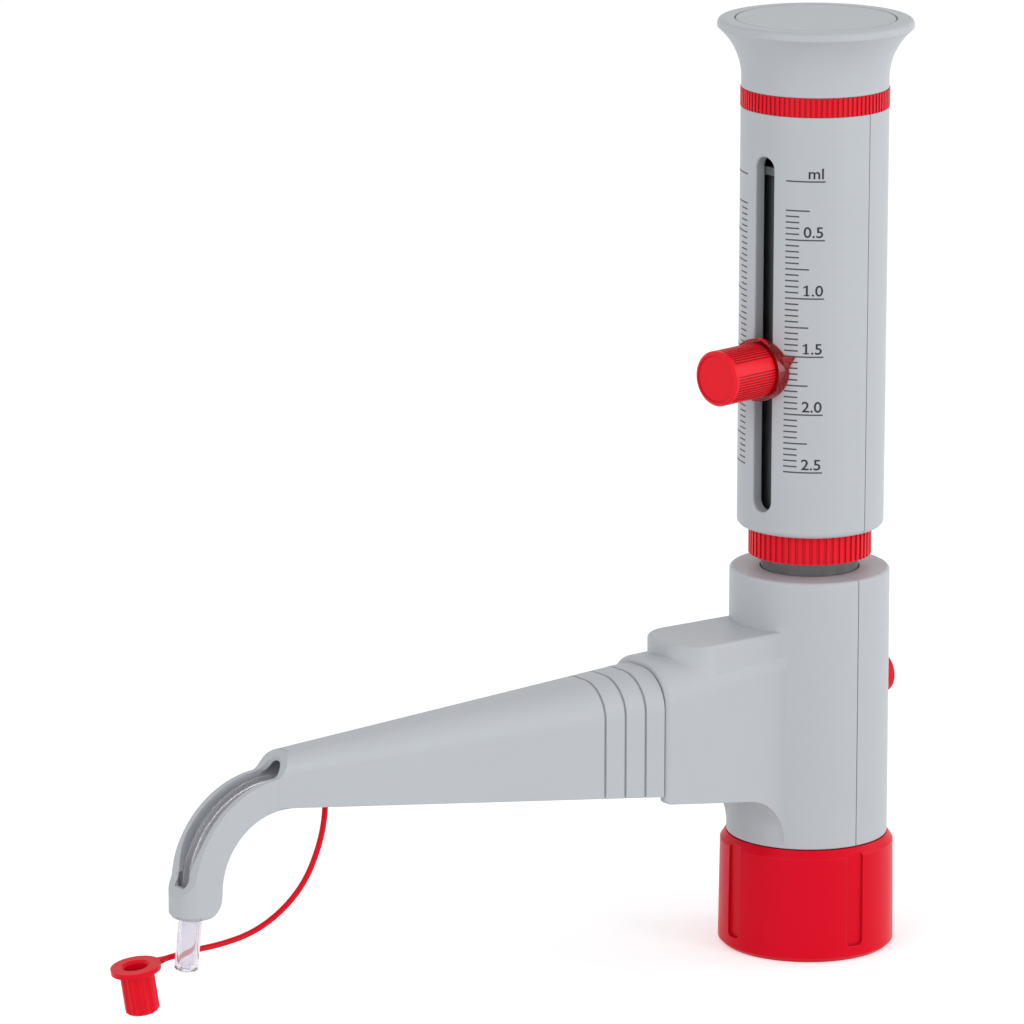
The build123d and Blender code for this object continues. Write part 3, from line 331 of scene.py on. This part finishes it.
# The strap of the nozzle cap is a springy red cord of soft plastic. It hangs from a button that
# is pushed through a rib under the arm, and runs down to the cap's tongue.
# Painted shade darkens the grooves of the cap and button.
soft_red = moulded(
    "soft_red_strap", (0.82, 0.004, 0.018), 0.38, grain=7000, depth=0.15,
    shine=0.12, edge=0.00008, painted_groove_shade=0.6,
)
strap_width = 0.0013
strap_way = (
    (-0.1317, 0, 0.0570),
    (-0.1317, 0, 0.0510),
    (-0.1335, 0.0003, 0.0433),
    (-0.1367, 0.0011, 0.0360),
    (-0.1419, 0.0022, 0.0303),
    (-0.1486, 0.0032, 0.0265),
    (-0.1563, 0.0040, 0.02505),
    (-0.1636, 0.00475, 0.02475),
    (-0.1693, 0.00555, 0.02385),
)
strap_curve = bpy.data.curves.new("nozzle_strap", "CURVE")
strap_curve.dimensions = "3D"
strap_line = strap_curve.splines.new("NURBS")
strap_line.points.add(len(strap_way) - 1)
for point, place in zip(strap_line.points, strap_way):
    point.co = (*place, 1)
strap_line.order_u = 3
strap_line.use_endpoint_u = True
strap_line.resolution_u = 12
strap_curve.bevel_depth = strap_width / 2
strap_curve.bevel_resolution = 6
strap_curve.use_fill_caps = True
strap_curve.materials.append(soft_red)
nozzle_strap = bpy.data.objects.new("nozzle_strap", strap_curve)
bpy.context.scene.collection.objects.link(nozzle_strap)
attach(nozzle_strap, "dispenser")
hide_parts("cap_strap")
dress(soft_red, "nozzle_cap", "strap_button")

# The collar screws onto the bottle. It is one red moulding with four finger grips and a
# coarse thread inside.
# Painted shade darkens its grooves and recesses.
collar_red = moulded("collar_red", (0.76, 0.002, 0.018), 0.36, shine=0.1, edge=0.00012, painted_groove_shade=0.4)
dress(collar_red, "bottle_collar")

thread_bore = 0.0153
thread_crest = 0.0145
thread_root_half = 0.0011
thread_crest_half = 0.0004
thread_start = 0.0036
thread_pitch = 0.004
thread_turns = 2.75
thread_steps = 64
thread_shape = bmesh.new()
thread_edge = [
    thread_shape.verts.new(place)
    for place in (
        (thread_bore, 0, -thread_root_half),
        (thread_crest, 0, -thread_crest_half),
        (thread_crest, 0, thread_crest_half),
        (thread_bore, 0, thread_root_half),
    )
]
thread_face = thread_shape.faces.new(thread_edge)
bmesh.ops.spin(
    thread_shape,
    geom=[thread_face, *thread_edge, *thread_face.edges],
    axis=(0, 0, 1),
    angle=2 * pi * thread_turns,
    steps=int(thread_steps * thread_turns),
    dvec=(0, 0, thread_pitch / thread_steps),
)
bmesh.ops.translate(thread_shape, verts=thread_shape.verts, vec=(0, 0, thread_start))
bmesh.ops.remove_doubles(thread_shape, verts=thread_shape.verts, dist=0.00001)
bmesh.ops.recalc_face_normals(thread_shape, faces=thread_shape.faces)
collar_thread = as_object("collar_thread", thread_shape, collar_red)
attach(collar_thread, "collar")

# Inside the neck are the threaded ring, a soft seal and the filling valve with its nipple. The
# hard pieces are turned or moulded of white fluoroplastic, the seals of soft rubber.
white_resin = moulded("white_resin", (0.72, 0.72, 0.69), 0.5, depth=0.1)
seal_rubber = moulded("seal_rubber", (0.55, 0.54, 0.5), 0.6, grain=9000)
dress(white_resin, "collar_retainer", "valve_block", "filling_valve")
dress(white_resin, "outlet_valve", "outlet_nut", "barrel_bush")
dress(seal_rubber, "bottle_seal", "barrel_washer", "spindle_seal")

# The two valve balls are polished ceramic and lie loose on their seats. A fine coil spring of
# steel wire presses the outlet one onto its seat.
ceramic = moulded("ball_ceramic", (0.8, 0.79, 0.76), 0.15, depth=0.02, edge_polish_and_highlight=0)
dress(ceramic, "inlet_ball", "outlet_ball")
steel = moulded("spring_wire", (0.55, 0.55, 0.56), 0.25, depth=0.1, edge_polish_and_highlight=0)
steel.node_tree.nodes["Principled BSDF"].inputs["Metallic"].default_value = 1
dress(steel, "outlet_spring")

# The housing's two halves are satin grey mouldings, and the arm is a third that plugs into
# the boss of the front one.
satin_grey = moulded("satin_grey", (0.52, 0.545, 0.57), 0.42)
dress(satin_grey, "housing_front", "housing_rear")

# The arm's end is worked finer than the solid: its top falls to the hook in a soft slope that the
# tube's channel runs up, and the nozzle's foot is rounded in front and at its heel. Each form is
# cut from a copy of the solid. A reach is a distance from the main axis, along the arm.
hook_reach = 0.1455
hook_level = 0.0396
slope_start = 0.1424
slope_end = 0.1474
slope_top = 0.0672
slope_foot = 0.0626
slope_hold = 0.45
groove_floor = 0.0175
groove_outside = 0.034
groove_half = 0.0035
groove_foot_half = 0.0018
groove_head_turn = radians(84)
groove_foot_turn = radians(3.5)
groove_widening = radians(27)
groove_steps = 40
groove_end = 0.1475
groove_end_top = 0.072
groove_end_sides = 48
tunnel_root = 0.139
tunnel_half = 0.0033
tunnel_mouth = 0.1472
tunnel_ceiling = ((0.0614, tunnel_mouth), (0.0626, 0.1453), (0.0644, 0.14405), (0.0656, 0.1432))
tunnel_top = 0.0657
pipe_bend = 0.0203
pipe_radius = 0.00255
nozzle_lean = radians(6.8)
bore_half = 0.0027
bore_head = 0.002
bore_depth = 0.0034
block_front = 0.1708
block_half = 0.0049
block_round = 0.004
block_top = 0.06
heel_reach = 0.1616
heel_level = 0.0342
heel_round = 0.0044
heel_clear = 0.002
foot_level = 0.0342
foot_round = 0.0008
foot_clear = 0.0001
foot_overlap = 0.00001
clear_reach = 0.173
clear_top = 0.07
clear_foot = 0.03
clear_side = 0.01
clear_corner = 0.007
weld = 0.000001


def bent(start, first, second, end, steps=16):
    """Places along a soft curve from start to end, drawn toward two handles."""
    handles = (start, first, second, end)
    ways = []
    for step in range(steps + 1):
        t = step / steps
        shares = ((1 - t) ** 3, 3 * t * (1 - t) ** 2, 3 * t**2 * (1 - t), t**3)
        ways.append(tuple(sum(w * p[i] for w, p in zip(shares, handles)) for i in (0, 1)))
    return ways


def rounded(centre, radius, start, end, steps=16):
    """Places round an arc, from one angle to another."""
    turns = [start + (end - start) * step / steps for step in range(steps + 1)]
    return [(centre[0] + radius * cos(turn), centre[1] + radius * sin(turn)) for turn in turns]


def bar(name, sections):
    """A closed bar through sections that have the same number of places."""
    shape = bmesh.new()
    loops = [[shape.verts.new(place) for place in section] for section in sections]
    shape.faces.new(loops[0])
    shape.faces.new(loops[-1])
    for near, far in zip(loops, loops[1:]):
        for a in range(len(near)):
            b = (a + 1) % len(near)
            shape.faces.new((near[a], near[b], far[b], far[a]))
    bmesh.ops.recalc_face_normals(shape, faces=shape.faces)
    return as_object(name, shape)


def cutter(name, outline, low, high, upright, low_outline=None):
    """A prism over an outline: of reach and side, upright, or of reach and level, across."""
    return bar(name, [
        [(-a, b, depth) if upright else (-a, depth, b) for a, b in edge]
        for edge, depth in ((low_outline or outline, low), (outline, high))
    ])


def groove_cutter():
    """A bar swept round the hook, which cuts the tube's channel and narrows to the nozzle."""
    sections = []
    for step in range(groove_steps + 1):
        turn = groove_head_turn - (groove_head_turn - groove_foot_turn) * step / groove_steps
        share = min(1, (turn - groove_foot_turn) / groove_widening)
        widening = (groove_half - groove_foot_half) * share * share * (3 - 2 * share)
        half = groove_foot_half + widening
        sections.append([
            (-hook_reach - out * cos(turn), side * half, hook_level + out * sin(turn))
            for out, side in (
                (groove_floor, -1), (groove_floor, 1), (groove_outside, 1), (groove_outside, -1)
            )
        ])
    return bar("groove_cut", sections)


slope_ease = slope_hold * (slope_end - slope_start)
slope = bent(
    (slope_start, slope_top),
    (slope_start + slope_ease, slope_top),
    (slope_end - slope_ease, slope_foot),
    (slope_end, slope_foot),
)
channel_floor = hook_level + groove_floor
end_turn = 2 * pi * (groove_end_sides - 1) / groove_end_sides
bore_from = (
    hook_reach + pipe_bend * cos(nozzle_lean),
    hook_level + pipe_bend * sin(nozzle_lean),
)
bore_side = (bore_half * cos(nozzle_lean), -bore_half * sin(nozzle_lean))
heel_centre = (heel_reach + heel_round, heel_level + heel_round)
corner_centre = (block_front - block_round, block_half - block_round)
corner_arc = rounded(corner_centre, block_round, 0, pi / 2)
toe_arc = rounded(corner_centre, block_round - foot_round, 0, pi / 2)
tools = [
    cutter(
        "slope_cut",
        [*slope, (slope_end, clear_top), (slope_start, clear_top)],
        -clear_side, clear_side, False,
    ),
    groove_cutter(),
    cutter(
        "groove_end_cut",
        rounded((groove_end, 0), groove_half, 0, end_turn, groove_end_sides - 1),
        channel_floor, groove_end_top, True,
    ),
    cutter(
        "tunnel_cut",
        [
            (tunnel_root, channel_floor),
            (tunnel_mouth, channel_floor),
            *((reach, level) for level, reach in tunnel_ceiling),
            (tunnel_root, tunnel_top),
        ],
        -tunnel_half, tunnel_half, False,
    ),
    cutter(
        "pipe_cut",
        [
            (bore_from[0] + side * bore_side[0] + depth * sin(nozzle_lean),
             bore_from[1] + side * bore_side[1] - depth * cos(nozzle_lean))
            for side, depth in (
                (-1, -bore_head), (-1, bore_depth), (1, bore_depth), (1, -bore_head)
            )
        ],
        -bore_half, bore_half, False,
    ),
    cutter(
        "heel_cut",
        [
            *rounded(heel_centre, heel_round, pi, 1.5 * pi),
            (heel_reach + heel_round, clear_foot),
            (heel_reach - heel_clear, clear_foot),
            (heel_reach - heel_clear, heel_level + heel_round),
        ],
        -clear_side, clear_side, False,
    ),
]
for side in (-1, 1):
    corner, toe = (
        [
            *((a, side * b) for a, b in arc),
            (arc[-1][0], side * clear_corner),
            (clear_reach, side * clear_corner),
            (clear_reach, side * arc[0][1]),
        ]
        for arc in (corner_arc, toe_arc)
    )
    toe_top = foot_level + foot_round
    tools.append(cutter("corner_cut", corner, toe_top, block_top, True))
    tools.append(
        cutter("toe_cut", corner, foot_level - foot_clear, toe_top + foot_overlap, True, toe)
    )


def carve(name, node, tools, paint):
    """Copies a solid of the frame and cuts the copy with the tools, which are used up."""
    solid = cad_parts[node]
    shape = bmesh.new()
    shape.from_mesh(solid.data)
    shape.transform(solid.matrix_world)
    bmesh.ops.remove_doubles(shape, verts=shape.verts, dist=weld)
    carved = as_object(name, shape)
    uncut = carved.data
    for tool in tools:
        cut = carved.modifiers.new(tool.name, "BOOLEAN")
        cut.operation = "DIFFERENCE"
        cut.solver = "EXACT"
        cut.object = tool
    bpy.context.view_layer.update()
    result = bpy.data.meshes.new_from_object(
        carved.evaluated_get(bpy.context.evaluated_depsgraph_get())
    )
    carved.modifiers.clear()
    carved.data = result
    bpy.data.meshes.remove(uncut)
    for tool in tools:
        bpy.data.objects.remove(tool)
    result.materials.clear()
    result.materials.append(paint)
    return carved


arm_moulding = carve("arm_moulding", "discharge_arm", tools, satin_grey)
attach(arm_moulding, "dispenser")
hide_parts("discharge_arm")

# The boss of the front half is open below toward its end, and its end face leaves a narrow dark
# joint to the arm.
boss_end = 0.048
boss_opening = 0.0275
boss_inside = 0.0086
boss_floor = 0.0443
joint_cut = 0.00015
joint_end = 0.0481
joint_side = 0.02
joint_low = 0.03
joint_high = 0.09
opening_end = 0.05
opening_low = 0.04


def slab(near, far, side):
    """A rectangle of reach, from near to far, and of side, the same to both sides."""
    return [(near, -side), (near, side), (far, side), (far, -side)]


boss_tools = [
    cutter(
        "floor_cut", slab(boss_opening, opening_end, boss_inside), opening_low, boss_floor, True
    ),
    cutter(
        "joint_cut", slab(boss_end - joint_cut, joint_end, joint_side), joint_low, joint_high, True
    ),
]
housing_moulding = carve("housing_moulding", "housing_front", boss_tools, satin_grey)
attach(housing_moulding, "dispenser")
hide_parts("housing_front")

# The valve knob on the back is a small red moulding. It is pressed on a white spindle that
# turns in the valve block.
knob_red = moulded("knob_red", (0.88, 0.010, 0.022), 0.34, shine=0.14)
dress(knob_red, "valve_knob")
dress(white_resin, "valve_spindle")

# The guide tube is a glossy dark grey extrusion with fine draw lines along it. It stands in
# the housing, and the sleeve runs over it.
smoky = bpy.data.materials.new("guide_tube_dark")
smoky.use_nodes = True
smoky_nodes, smoky_links = smoky.node_tree.nodes, smoky.node_tree.links
smoky_skin = smoky_nodes["Principled BSDF"]
smoky_place = smoky_nodes.new("ShaderNodeTexCoord")
smoky_stretch = smoky_nodes.new("ShaderNodeMapping")
smoky_stretch.inputs["Scale"].default_value = (1, 1, 0.01)
smoky_lines = smoky_nodes.new("ShaderNodeTexNoise")
smoky_lines.inputs["Scale"].default_value = 1500
smoky_lines.inputs["Detail"].default_value = 3
smoky_relief = smoky_nodes.new("ShaderNodeBump")
smoky_relief.inputs["Distance"].default_value = 0.00001
smoky_relief.inputs["Strength"].default_value = 0.15
smoky_gloss = smoky_nodes.new("ShaderNodeMapRange")
smoky_gloss.inputs["To Min"].default_value = 0.12
smoky_gloss.inputs["To Max"].default_value = 0.24
smoky_tone = smoky_nodes.new("ShaderNodeMix")
smoky_tone.data_type = "RGBA"
smoky_tone.inputs[6].default_value = (0.115, 0.122, 0.126, 1)
smoky_tone.inputs[7].default_value = (0.145, 0.153, 0.158, 1)
smoky_links.new(smoky_place.outputs["Object"], smoky_stretch.inputs["Vector"])
smoky_links.new(smoky_stretch.outputs["Vector"], smoky_lines.inputs["Vector"])
smoky_links.new(smoky_lines.outputs["Fac"], smoky_relief.inputs["Height"])
smoky_links.new(smoky_lines.outputs["Fac"], smoky_gloss.inputs["Value"])
smoky_links.new(smoky_lines.outputs["Fac"], smoky_tone.inputs["Factor"])
smoky_links.new(smoky_tone.outputs[2], smoky_skin.inputs["Base Color"])
smoky_links.new(smoky_gloss.outputs["Result"], smoky_skin.inputs["Roughness"])
smoky_links.new(smoky_relief.outputs["Normal"], smoky_skin.inputs["Normal"])
dress(smoky, "guide_tube")

# The two ribbed rings are red mouldings. The coarser one locks the guide tube to the housing,
# and the finer one sits between the sleeve and the cap.
# Painted shade darkens the grooves between their ribs.
ring_red = moulded("ring_red", (0.88, 0.008, 0.024), 0.36, shine=0.14, edge=0.00006, painted_groove_shade=0.4)
dress(ring_red, "lock_ring", "cap_ring")

# The sleeve's halves, the flared cap and its round cover are moulded in the same satin grey.
# The cover is pressed into the cap's top with a fine joint round it.
dress(satin_grey, "sleeve_front", "sleeve_rear", "plunger_cap")
cover_radius = 0.01805
cover_gap = 0.00014
cover_plate = carve("cover_plate", "cap_cover", [], satin_grey)
cover_share = 1 - cover_gap / cover_radius
for vert in cover_plate.data.vertices:
    vert.co.x *= cover_share
    vert.co.y *= cover_share
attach(cover_plate, "plunger")
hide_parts("cap_cover")

# The dose scale is screen printed on the front half of the sleeve, on both sides of its slot,
# with numbers on the side that faces the reader.
print_ink = moulded("scale_ink", (0.085, 0.09, 0.1), 0.5, mottle=0.2, grain=9000, edge_polish_and_highlight=0)
sleeve_radius = 0.01655
ink_lift = 0.00002
ink_height = 0.00003
slot_turn = radians(189.8)
zero_level = 0.17905
dose_length = 0.02636
dose_step = 0.05
scale_steps = 50
first_step = 5
middle_every = 5
long_every = 10
tick_parts = 12
line_width = 0.00032
tick_start = radians(20.5)
short_end = radians(31.3)
middle_end = radians(39.2)
long_end = radians(51.1)
number_size = 0.00342
number_stretch = 1.11
number_weight = 0.000035
number_rise = 0.00064
number_inset = radians(0.6)
stem_share = 0.1
one_foot = ((-1.3, 0), (2.3, 0), (2.3, 0.8), (-1.3, 0.8))
one_flag = ((0.5, 0), (-1.5, -1.1), (-1.5, -2.1), (0.5, -1.1))


def wrap_print(shape, turn, level):
    """Lays a flat print, drawn in X and Y, on the sleeve at a turn from the slot and a level."""
    for vert in shape.verts:
        around = slot_turn + turn + vert.co.x / sleeve_radius
        out = sleeve_radius + ink_lift
        vert.co = Vector((out * cos(around), out * sin(around), level + vert.co.y))


# Step -1 is the line at zero. The next line stands at a quarter of a millilitre.
ink_shape = bmesh.new()
for step in range(-1, scale_steps + 1):
    if -1 < step < first_step:
        continue
    dose = max(step, 0) * dose_step
    if step < 0 or step % long_every == 0:
        line_end = long_end
    elif step % middle_every == 0:
        line_end = middle_end
    else:
        line_end = short_end
    for side in (-1, 1):
        tick = bmesh.new()
        tick_length = sleeve_radius * (line_end - tick_start)
        bmesh.ops.create_grid(tick, x_segments=tick_parts, y_segments=1, size=0.5)
        bmesh.ops.scale(tick, vec=(tick_length, line_width, 1), verts=tick.verts)
        wrap_print(tick, side * (tick_start + line_end) / 2, zero_level - dose * dose_length)
        tick_mesh = bpy.data.meshes.new("tick")
        tick.to_mesh(tick_mesh)
        tick.free()
        ink_shape.from_mesh(tick_mesh)
        bpy.data.meshes.remove(tick_mesh)

for words, dose in (("ml", 0), ("0.5", 0.5), ("1.0", 1), ("1.5", 1.5), ("2.0", 2), ("2.5", 2.5)):
    letters = bpy.data.curves.new("letters", "FONT")
    letters.body = words
    letters.size = number_size
    letters.offset = number_weight
    letters.align_x = "RIGHT"
    letters.resolution_u = 4
    letters_object = bpy.data.objects.new("letters", letters)
    bpy.context.scene.collection.objects.link(letters_object)
    bpy.context.view_layer.update()
    letters_mesh = bpy.data.meshes.new_from_object(
        letters_object.evaluated_get(bpy.context.evaluated_depsgraph_get())
    )
    number = bmesh.new()
    number.from_mesh(letters_mesh)
    if words[0] == "1":
        one_left = min(vert.co.x for vert in number.verts)
        one_top = max(vert.co.y for vert in number.verts)
        stem = stem_share * number_size
        for corners, level in ((one_foot, 0), (one_flag, one_top)):
            number.faces.new([
                number.verts.new((one_left + x * stem, level + y * stem, 0)) for x, y in corners
            ])
    bmesh.ops.scale(number, vec=(number_stretch, 1, 1), verts=number.verts)
    wrap_print(number, long_end - number_inset, zero_level - dose * dose_length + number_rise)
    number.to_mesh(letters_mesh)
    number.free()
    ink_shape.from_mesh(letters_mesh)
    bpy.data.meshes.remove(letters_mesh)
    bpy.data.objects.remove(letters_object)
    bpy.data.curves.remove(letters)
bmesh.ops.remove_doubles(ink_shape, verts=ink_shape.verts, dist=weld)
bmesh.ops.recalc_face_normals(ink_shape, faces=ink_shape.faces)
for face in ink_shape.faces:
    centre = face.calc_center_median()
    if face.normal.dot(Vector((centre.x, centre.y, 0))) < 0:
        face.normal_flip()
bmesh.ops.solidify(ink_shape, geom=ink_shape.faces[:], thickness=ink_height)
sleeve_scale = as_object("sleeve_scale", ink_shape, print_ink)
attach(sleeve_scale, "plunger")

# Inside are the drawn glass barrel and the white piston with its rod and holder. Glass and clear
# plastic aren't even: a soft cloud shifts their tone and their polish a little.
def build_cloud():
    group = bpy.data.node_groups.new("cloud", "ShaderNodeTree")
    for name, kind, value in (
        ("Scale", "NodeSocketFloat", 300),
        ("Tone", "NodeSocketColor", (1, 1, 1, 1)),
        ("Paler tone", "NodeSocketColor", (1, 1, 1, 1)),
        ("Smoothest", "NodeSocketFloat", 0),
        ("Roughest", "NodeSocketFloat", 0.05),
    ):
        socket = group.interface.new_socket(name=name, in_out="INPUT", socket_type=kind)
        socket.default_value = value
    group.interface.new_socket(name="Colour", in_out="OUTPUT", socket_type="NodeSocketColor")
    group.interface.new_socket(name="Roughness", in_out="OUTPUT", socket_type="NodeSocketFloat")
    nodes, links = group.nodes, group.links
    given = nodes.new("NodeGroupInput")
    made = nodes.new("NodeGroupOutput")
    place = nodes.new("ShaderNodeTexCoord")
    haze = nodes.new("ShaderNodeTexNoise")
    links.new(place.outputs["Object"], haze.inputs["Vector"])
    links.new(given.outputs["Scale"], haze.inputs["Scale"])
    tone = nodes.new("ShaderNodeMix")
    tone.data_type = "RGBA"
    links.new(haze.outputs["Fac"], tone.inputs["Factor"])
    links.new(given.outputs["Tone"], tone.inputs[6])
    links.new(given.outputs["Paler tone"], tone.inputs[7])
    links.new(tone.outputs[2], made.inputs["Colour"])
    polish = nodes.new("ShaderNodeMapRange")
    links.new(haze.outputs["Fac"], polish.inputs["Value"])
    links.new(given.outputs["Smoothest"], polish.inputs["To Min"])
    links.new(given.outputs["Roughest"], polish.inputs["To Max"])
    links.new(polish.outputs["Result"], made.inputs["Roughness"])
    return group


cloud = build_cloud()


def clear(name, clearness, index, size, polish, tone, paler=None):
    """A clear material, clouded in its polish and, where a paler tone is given, its colour."""
    paint = bpy.data.materials.new(name)
    paint.use_nodes = True
    nodes, links = paint.node_tree.nodes, paint.node_tree.links
    body = nodes["Principled BSDF"]
    body.inputs["Transmission Weight"].default_value = clearness
    body.inputs["IOR"].default_value = index
    body.inputs["Base Color"].default_value = (*tone, 1)
    clouded = nodes.new("ShaderNodeGroup")
    clouded.node_tree = cloud
    clouded.inputs["Scale"].default_value = size
    clouded.inputs["Smoothest"].default_value = polish[0]
    clouded.inputs["Roughest"].default_value = polish[1]
    if paler:
        clouded.inputs["Tone"].default_value = (*tone, 1)
        clouded.inputs["Paler tone"].default_value = (*paler, 1)
        links.new(clouded.outputs["Colour"], body.inputs["Base Color"])
    links.new(clouded.outputs["Roughness"], body.inputs["Roughness"])
    return paint


glass = clear("barrel_glass", 1, 1.47, 500, (0, 0.04), (0.98, 1, 0.99))
dress(glass, "glass_barrel")
dress(white_resin, "piston_holder", "zero_adjuster", "piston_rod", "piston_seal", "clamp_lug")

# The volume knob is a ribbed red moulding. The pointer dial behind it is clear dark red and
# reads on the scale, and the stud of the lug behind the slot holds both.
# Painted shade darkens the grooves between its ribs.
ribbed_red = moulded(
    "ribbed_red", (0.90, 0.011, 0.024), 0.34, shine=0.14, edge=0.00005, painted_groove_shade=0.42
)
dress(ribbed_red, "volume_knob")
clear_red = clear(
    "clear_dark_red", 0.93, 1.45, 300, (0.01, 0.05), (0.80, 0.012, 0.026), (0.90, 0.018, 0.036)
)
clear_red.node_tree.nodes["Principled BSDF"].inputs["Specular IOR Level"].default_value = 0.3
dress(clear_red, "pointer_dial")

# The discharge tube and the tip are clear fluoroplastic, a little milky. The tube is bent into
# the arm's channel and ends in the nozzle block, where the tip is seated.
milky = clear(
    "clear_fluoroplastic", 0.85, 1.35, 250, (0.06, 0.14), (0.82, 0.80, 0.86), (0.92, 0.90, 0.95)
)
dress(milky, "nozzle_tip")


def hose(stations, segments=56):
    """A tube through stations: a reach, a level, a heading, an outer and an inner radius."""
    shape = bmesh.new()
    walls = []
    for reach, level, heading, outer, inner in stations:
        for radius in (outer, inner):
            walls.append([
                shape.verts.new((
                    -reach + radius * sin(turn) * sin(heading),
                    radius * cos(turn),
                    level + radius * sin(turn) * cos(heading),
                ))
                for turn in (2 * pi * step / segments for step in range(segments))
            ])
    outside, inside = walls[0::2], walls[1::2]
    loop = outside + inside[::-1]
    for a in range(len(loop)):
        near, far = loop[a], loop[(a + 1) % len(loop)]
        for b in range(segments):
            c = (b + 1) % segments
            shape.faces.new((near[b], near[c], far[c], far[b]))
    bmesh.ops.recalc_face_normals(shape, faces=shape.faces)
    for face in shape.faces:
        face.smooth = True
    return shape


tube_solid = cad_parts["discharge_tube"]
tube_root = -max((tube_solid.matrix_world @ vert.co).x for vert in tube_solid.data.vertices)
tube_thin = 0.0016
tube_bore = 0.001
tube_depth = 0.0062
step_gap = 0.0002
seat_gap = 0.0001
step_reach = tunnel_root + step_gap
bend_steps = 90
tube_level = hook_level + pipe_bend
tube_way = [
    (tube_root, tube_level, 0, tube_thin, tube_bore),
    (step_reach, tube_level, 0, tube_thin, tube_bore),
    (step_reach, tube_level, 0, pipe_radius, tube_bore),
]
for step in range(bend_steps + 1):
    turn = pi / 2 - (pi / 2 - nozzle_lean) * step / bend_steps
    place = (hook_reach + pipe_bend * cos(turn), hook_level + pipe_bend * sin(turn))
    tube_way.append((*place, turn - pi / 2, pipe_radius, tube_bore))
for depth, radius in (
    (bore_depth - seat_gap, pipe_radius),
    (bore_depth - seat_gap, tube_thin),
    (tube_depth, tube_thin),
):
    place = (bore_from[0] + depth * sin(nozzle_lean), bore_from[1] - depth * cos(nozzle_lean))
    tube_way.append((*place, nozzle_lean - pi / 2, radius, tube_bore))
tube_shape = hose(tube_way)
channel_tube = as_object("channel_tube", tube_shape, milky)
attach(channel_tube, "dispenser")
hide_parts("discharge_tube")
